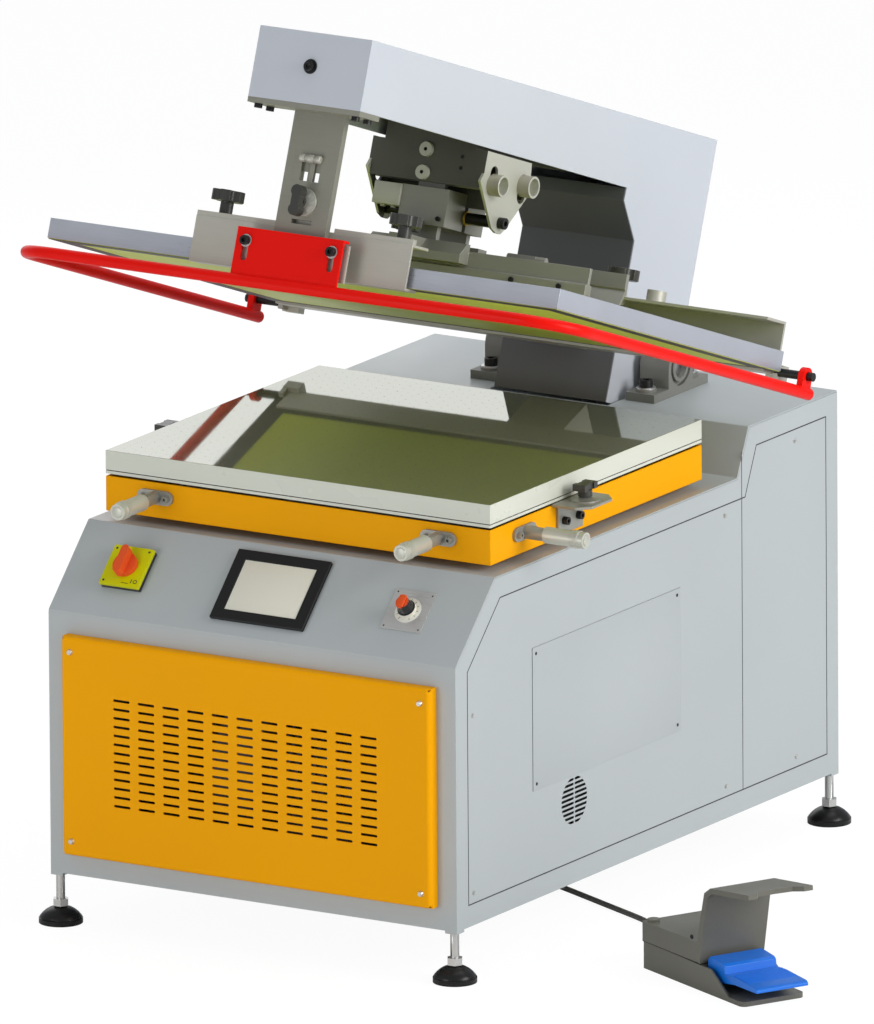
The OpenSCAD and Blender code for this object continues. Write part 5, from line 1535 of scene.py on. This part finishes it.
@dataclass
class Carriage:
    """Print carriage with squeegee and flood bar."""

    front: float = -0.683
    middle: float = -0.600
    plate_x: float = 0.121
    shaft_z: float = 0.171
    rollers: tuple[tuple[float, float], ...] = ((-0.648, 0.234), (-0.542, 0.247))
    bumpers: tuple[tuple[float, float], ...] = ((-0.004, 0.279), (-0.004, 0.237))

    def body_finish(self, face: Face) -> Finish | None:
        """Chooses the finish of a face of the carriage's body.

        Args:
            face: The face.

        Returns:
            Its finish, or None for the main one.
        """
        at = closed(face)
        shaft = 0.0495 < abs(at.x) < 0.1155 and max(abs(at.z - self.shaft_z), abs(at.y - self.middle)) < 0.0125
        if shaft or abs(at.x) > self.plate_x + 0.0002:
            return Finishes.black_steel
        if at.x > 0.1157:
            return Finishes.cream
        if at.y < self.front - 0.0002:
            away = min(math.hypot(at.x - x, at.z - z) for x, z in self.bumpers)
            hollow = at.y > self.front - 0.0078 and away < 0.0037
            return Finishes.black_steel if hollow else Finishes.cream
        if abs(at.x) < 0.0495 and at.z < 0.2132:
            return Finishes.warm
        if at.x < -0.0615 and 0.1775 < at.z < 0.2145:
            return Finishes.cream
        return None

    def roller_face(self, at: Vector, y: float, z: float) -> bool:
        """Tells whether a place on the closed head lies in a roller's bore or on its end.

        Args:
            at: The place.
            y: The roller's middle behind the shaft.
            z: Its height above the shaft.

        Returns:
            True if it does.
        """
        bore = math.hypot(at.y - y, at.z - z) < 0.0165
        return at.x > self.plate_x + 0.0005 and at.z > 0.2 and (bore or at.x > self.plate_x + 0.0238)

    def build(self) -> None:
        """Dresses the carriage."""
        body = Shop.soften("carriage_frame", "carriage_body", Finishes.olive, 0.0008)
        for finish in (Finishes.black_steel, Finishes.cream, Finishes.warm):
            Shop.coat(body, finish, lambda f, finish=finish: self.body_finish(f) is finish)
        holder = Shop.soften("squeegee_holder", "squeegee_jaws", Finishes.warm, 0.0008)
        Shop.coat(holder, Finishes.knob, lambda f: closed(f).y < -0.668 and closed(f).z > 0.1275)
        flood = Shop.soften("flood_bar", "flood_blade", Finishes.warm, 0.0006)
        for piece, roller in ((holder, self.rollers[0]), (flood, self.rollers[1])):
            Shop.coat(piece, Finishes.taupe, lambda f: closed(f).x > self.plate_x + 0.0002 and closed(f).z > 0.2)
            Shop.coat(piece, Finishes.cream, lambda f: self.roller_face(closed(f), *roller))
        Shop.stand(Shop.renewed("squeegee_blade", "squeegee_rubber"), Finishes.blade, "squeegee_blade")
        self.small_parts()

    def small_parts(self) -> None:
        """Adds the shaft's yellow ring, the valve block, the small screws and the jaws' screws."""
        ring = Shop.turned("shaft_ring", [
            (0.0112, -0.002), (0.0132, -0.002), (0.0138, -0.0014), (0.0138, 0.0014), (0.0132, 0.002), (0.0112, 0.002),
            (0.0112, -0.002)])
        Shop.place(ring, on_head(0.053, self.middle, self.shaft_z, spin(90.0, "Y")))
        Shop.add(ring, Finishes.brass, "carriage", "isolator_yellow")
        facing = spin(90.0, "X")
        heads = [Shop.place(Shop.screw("plate_screw", 0.007, 0.0012), on_head(0.071, self.front - 0.0001, z, facing))
                 for z in (0.254, 0.274)]
        guide = on_head(0.036, self.front + 0.0119, 0.158, facing)
        heads.append(Shop.place(Shop.screw("guide_screw", 0.009, 0.005), guide))
        valve = Shop.block("valve_body", (-0.105, -0.677, 0.172), (-0.0493, -0.642, 0.2122), 0.0012)
        ports = [Shop.place(Shop.screw("valve_port", 0.010, 0.004), move(x, -0.6595, 0.1721)
                            @ spin(180.0, "X")) for x in (-0.09, -0.068)]
        block = Shop.place(Shop.join("valve_body", [valve, *ports]), HEAD)
        Shop.add(block, Finishes.cream, "carriage", "warm_aluminium")
        Shop.add(Shop.join("carriage_screws", heads), Finishes.black_steel, "carriage", "black_screws")
        clips = []
        button = [(0.0, 0.0035), (0.004, 0.0035), (0.0052, 0.0026), (0.0052, 0.0), (0.0, 0.0)]
        for x in (-0.3, -0.2, 0.2, 0.3):
            clip = Shop.turned("jaw_screw", button, 24)
            clips.append(Shop.place(clip, on_head(x, -0.6591, 0.069, facing)))
        Shop.add(Shop.join("jaw_screws", clips), Finishes.black_steel, "squeegee", "black_screws")


@dataclass
class FootSwitch:
    """Cast foot switch with its blue pedal."""

    length: float = 0.330
    width: float = 0.133

    def slope(self, reach: float) -> float:
        """Gives the height of the pedal's lower step at a distance along the switch."""
        return 0.044 - (reach - self.length + 0.044) * 5.0 / 68.0

    def build(self) -> None:
        """Dresses the foot switch."""
        shell = Shop.soften("foot_switch", "switch_casting", Finishes.switch, 0.002, 3)
        shell.data.update()
        Shop.soften("foot_pedal", "blue_pedal", Finishes.blue, 0.0018, 3)
        self.tread()
        self.seam()

    def tread(self) -> None:
        """Adds the pedal's raised anti-slip ribs."""
        ribs = []
        fall = Matrix.Rotation(math.atan2(5.0, 68.0), 4, "Y")
        for i in range(10):
            a = self.length - 0.053 + i * 0.005
            rib = Shop.block("rib", (0.0, 0.0155, -0.001), (0.0024, self.width - 0.0155, 0.0011), 0.0003)
            ribs.append(Shop.place(rib, SWITCH @ move(a, 0.0, self.slope(a)) @ fall))
        Shop.add(Shop.join("pedal_ribs", ribs), Finishes.blue, "foot_pedal", "pedal_blue")

    def seam(self) -> None:
        """Adds the dark joint between tray and cover, and the cover's screws."""
        line = Shop.block("seam", (0.0, -0.0018, 0.0502), (self.length - 0.141, -0.0012, 0.0512), 0.0)
        parts = [Shop.place(line, SWITCH)]
        turn = move(0.166, -0.0015, 0.095) @ spin(90.0, "X")
        parts.append(Shop.place(Shop.screw("cover_screw", 0.0085, 0.0022), SWITCH @ turn))
        Shop.add(Shop.join("switch_seam", parts), Finishes.black_steel, "cabinet", "black_screws")


def main() -> None:
    """Builds every class in order."""
    logging.basicConfig(level=logging.INFO, format="%(name)s: %(message)s")
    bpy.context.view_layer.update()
    for part in (Studio(), SwitchLead(), Cabinet(), Console(), VacuumTable(), HeadLift(), Head(),
                 ScreenClamps(), Carriage(), FootSwitch()):
        log.info("building %s", type(part).__name__)
        part.build()
    Shop.clear()


if __name__ == "__main__":
    main()
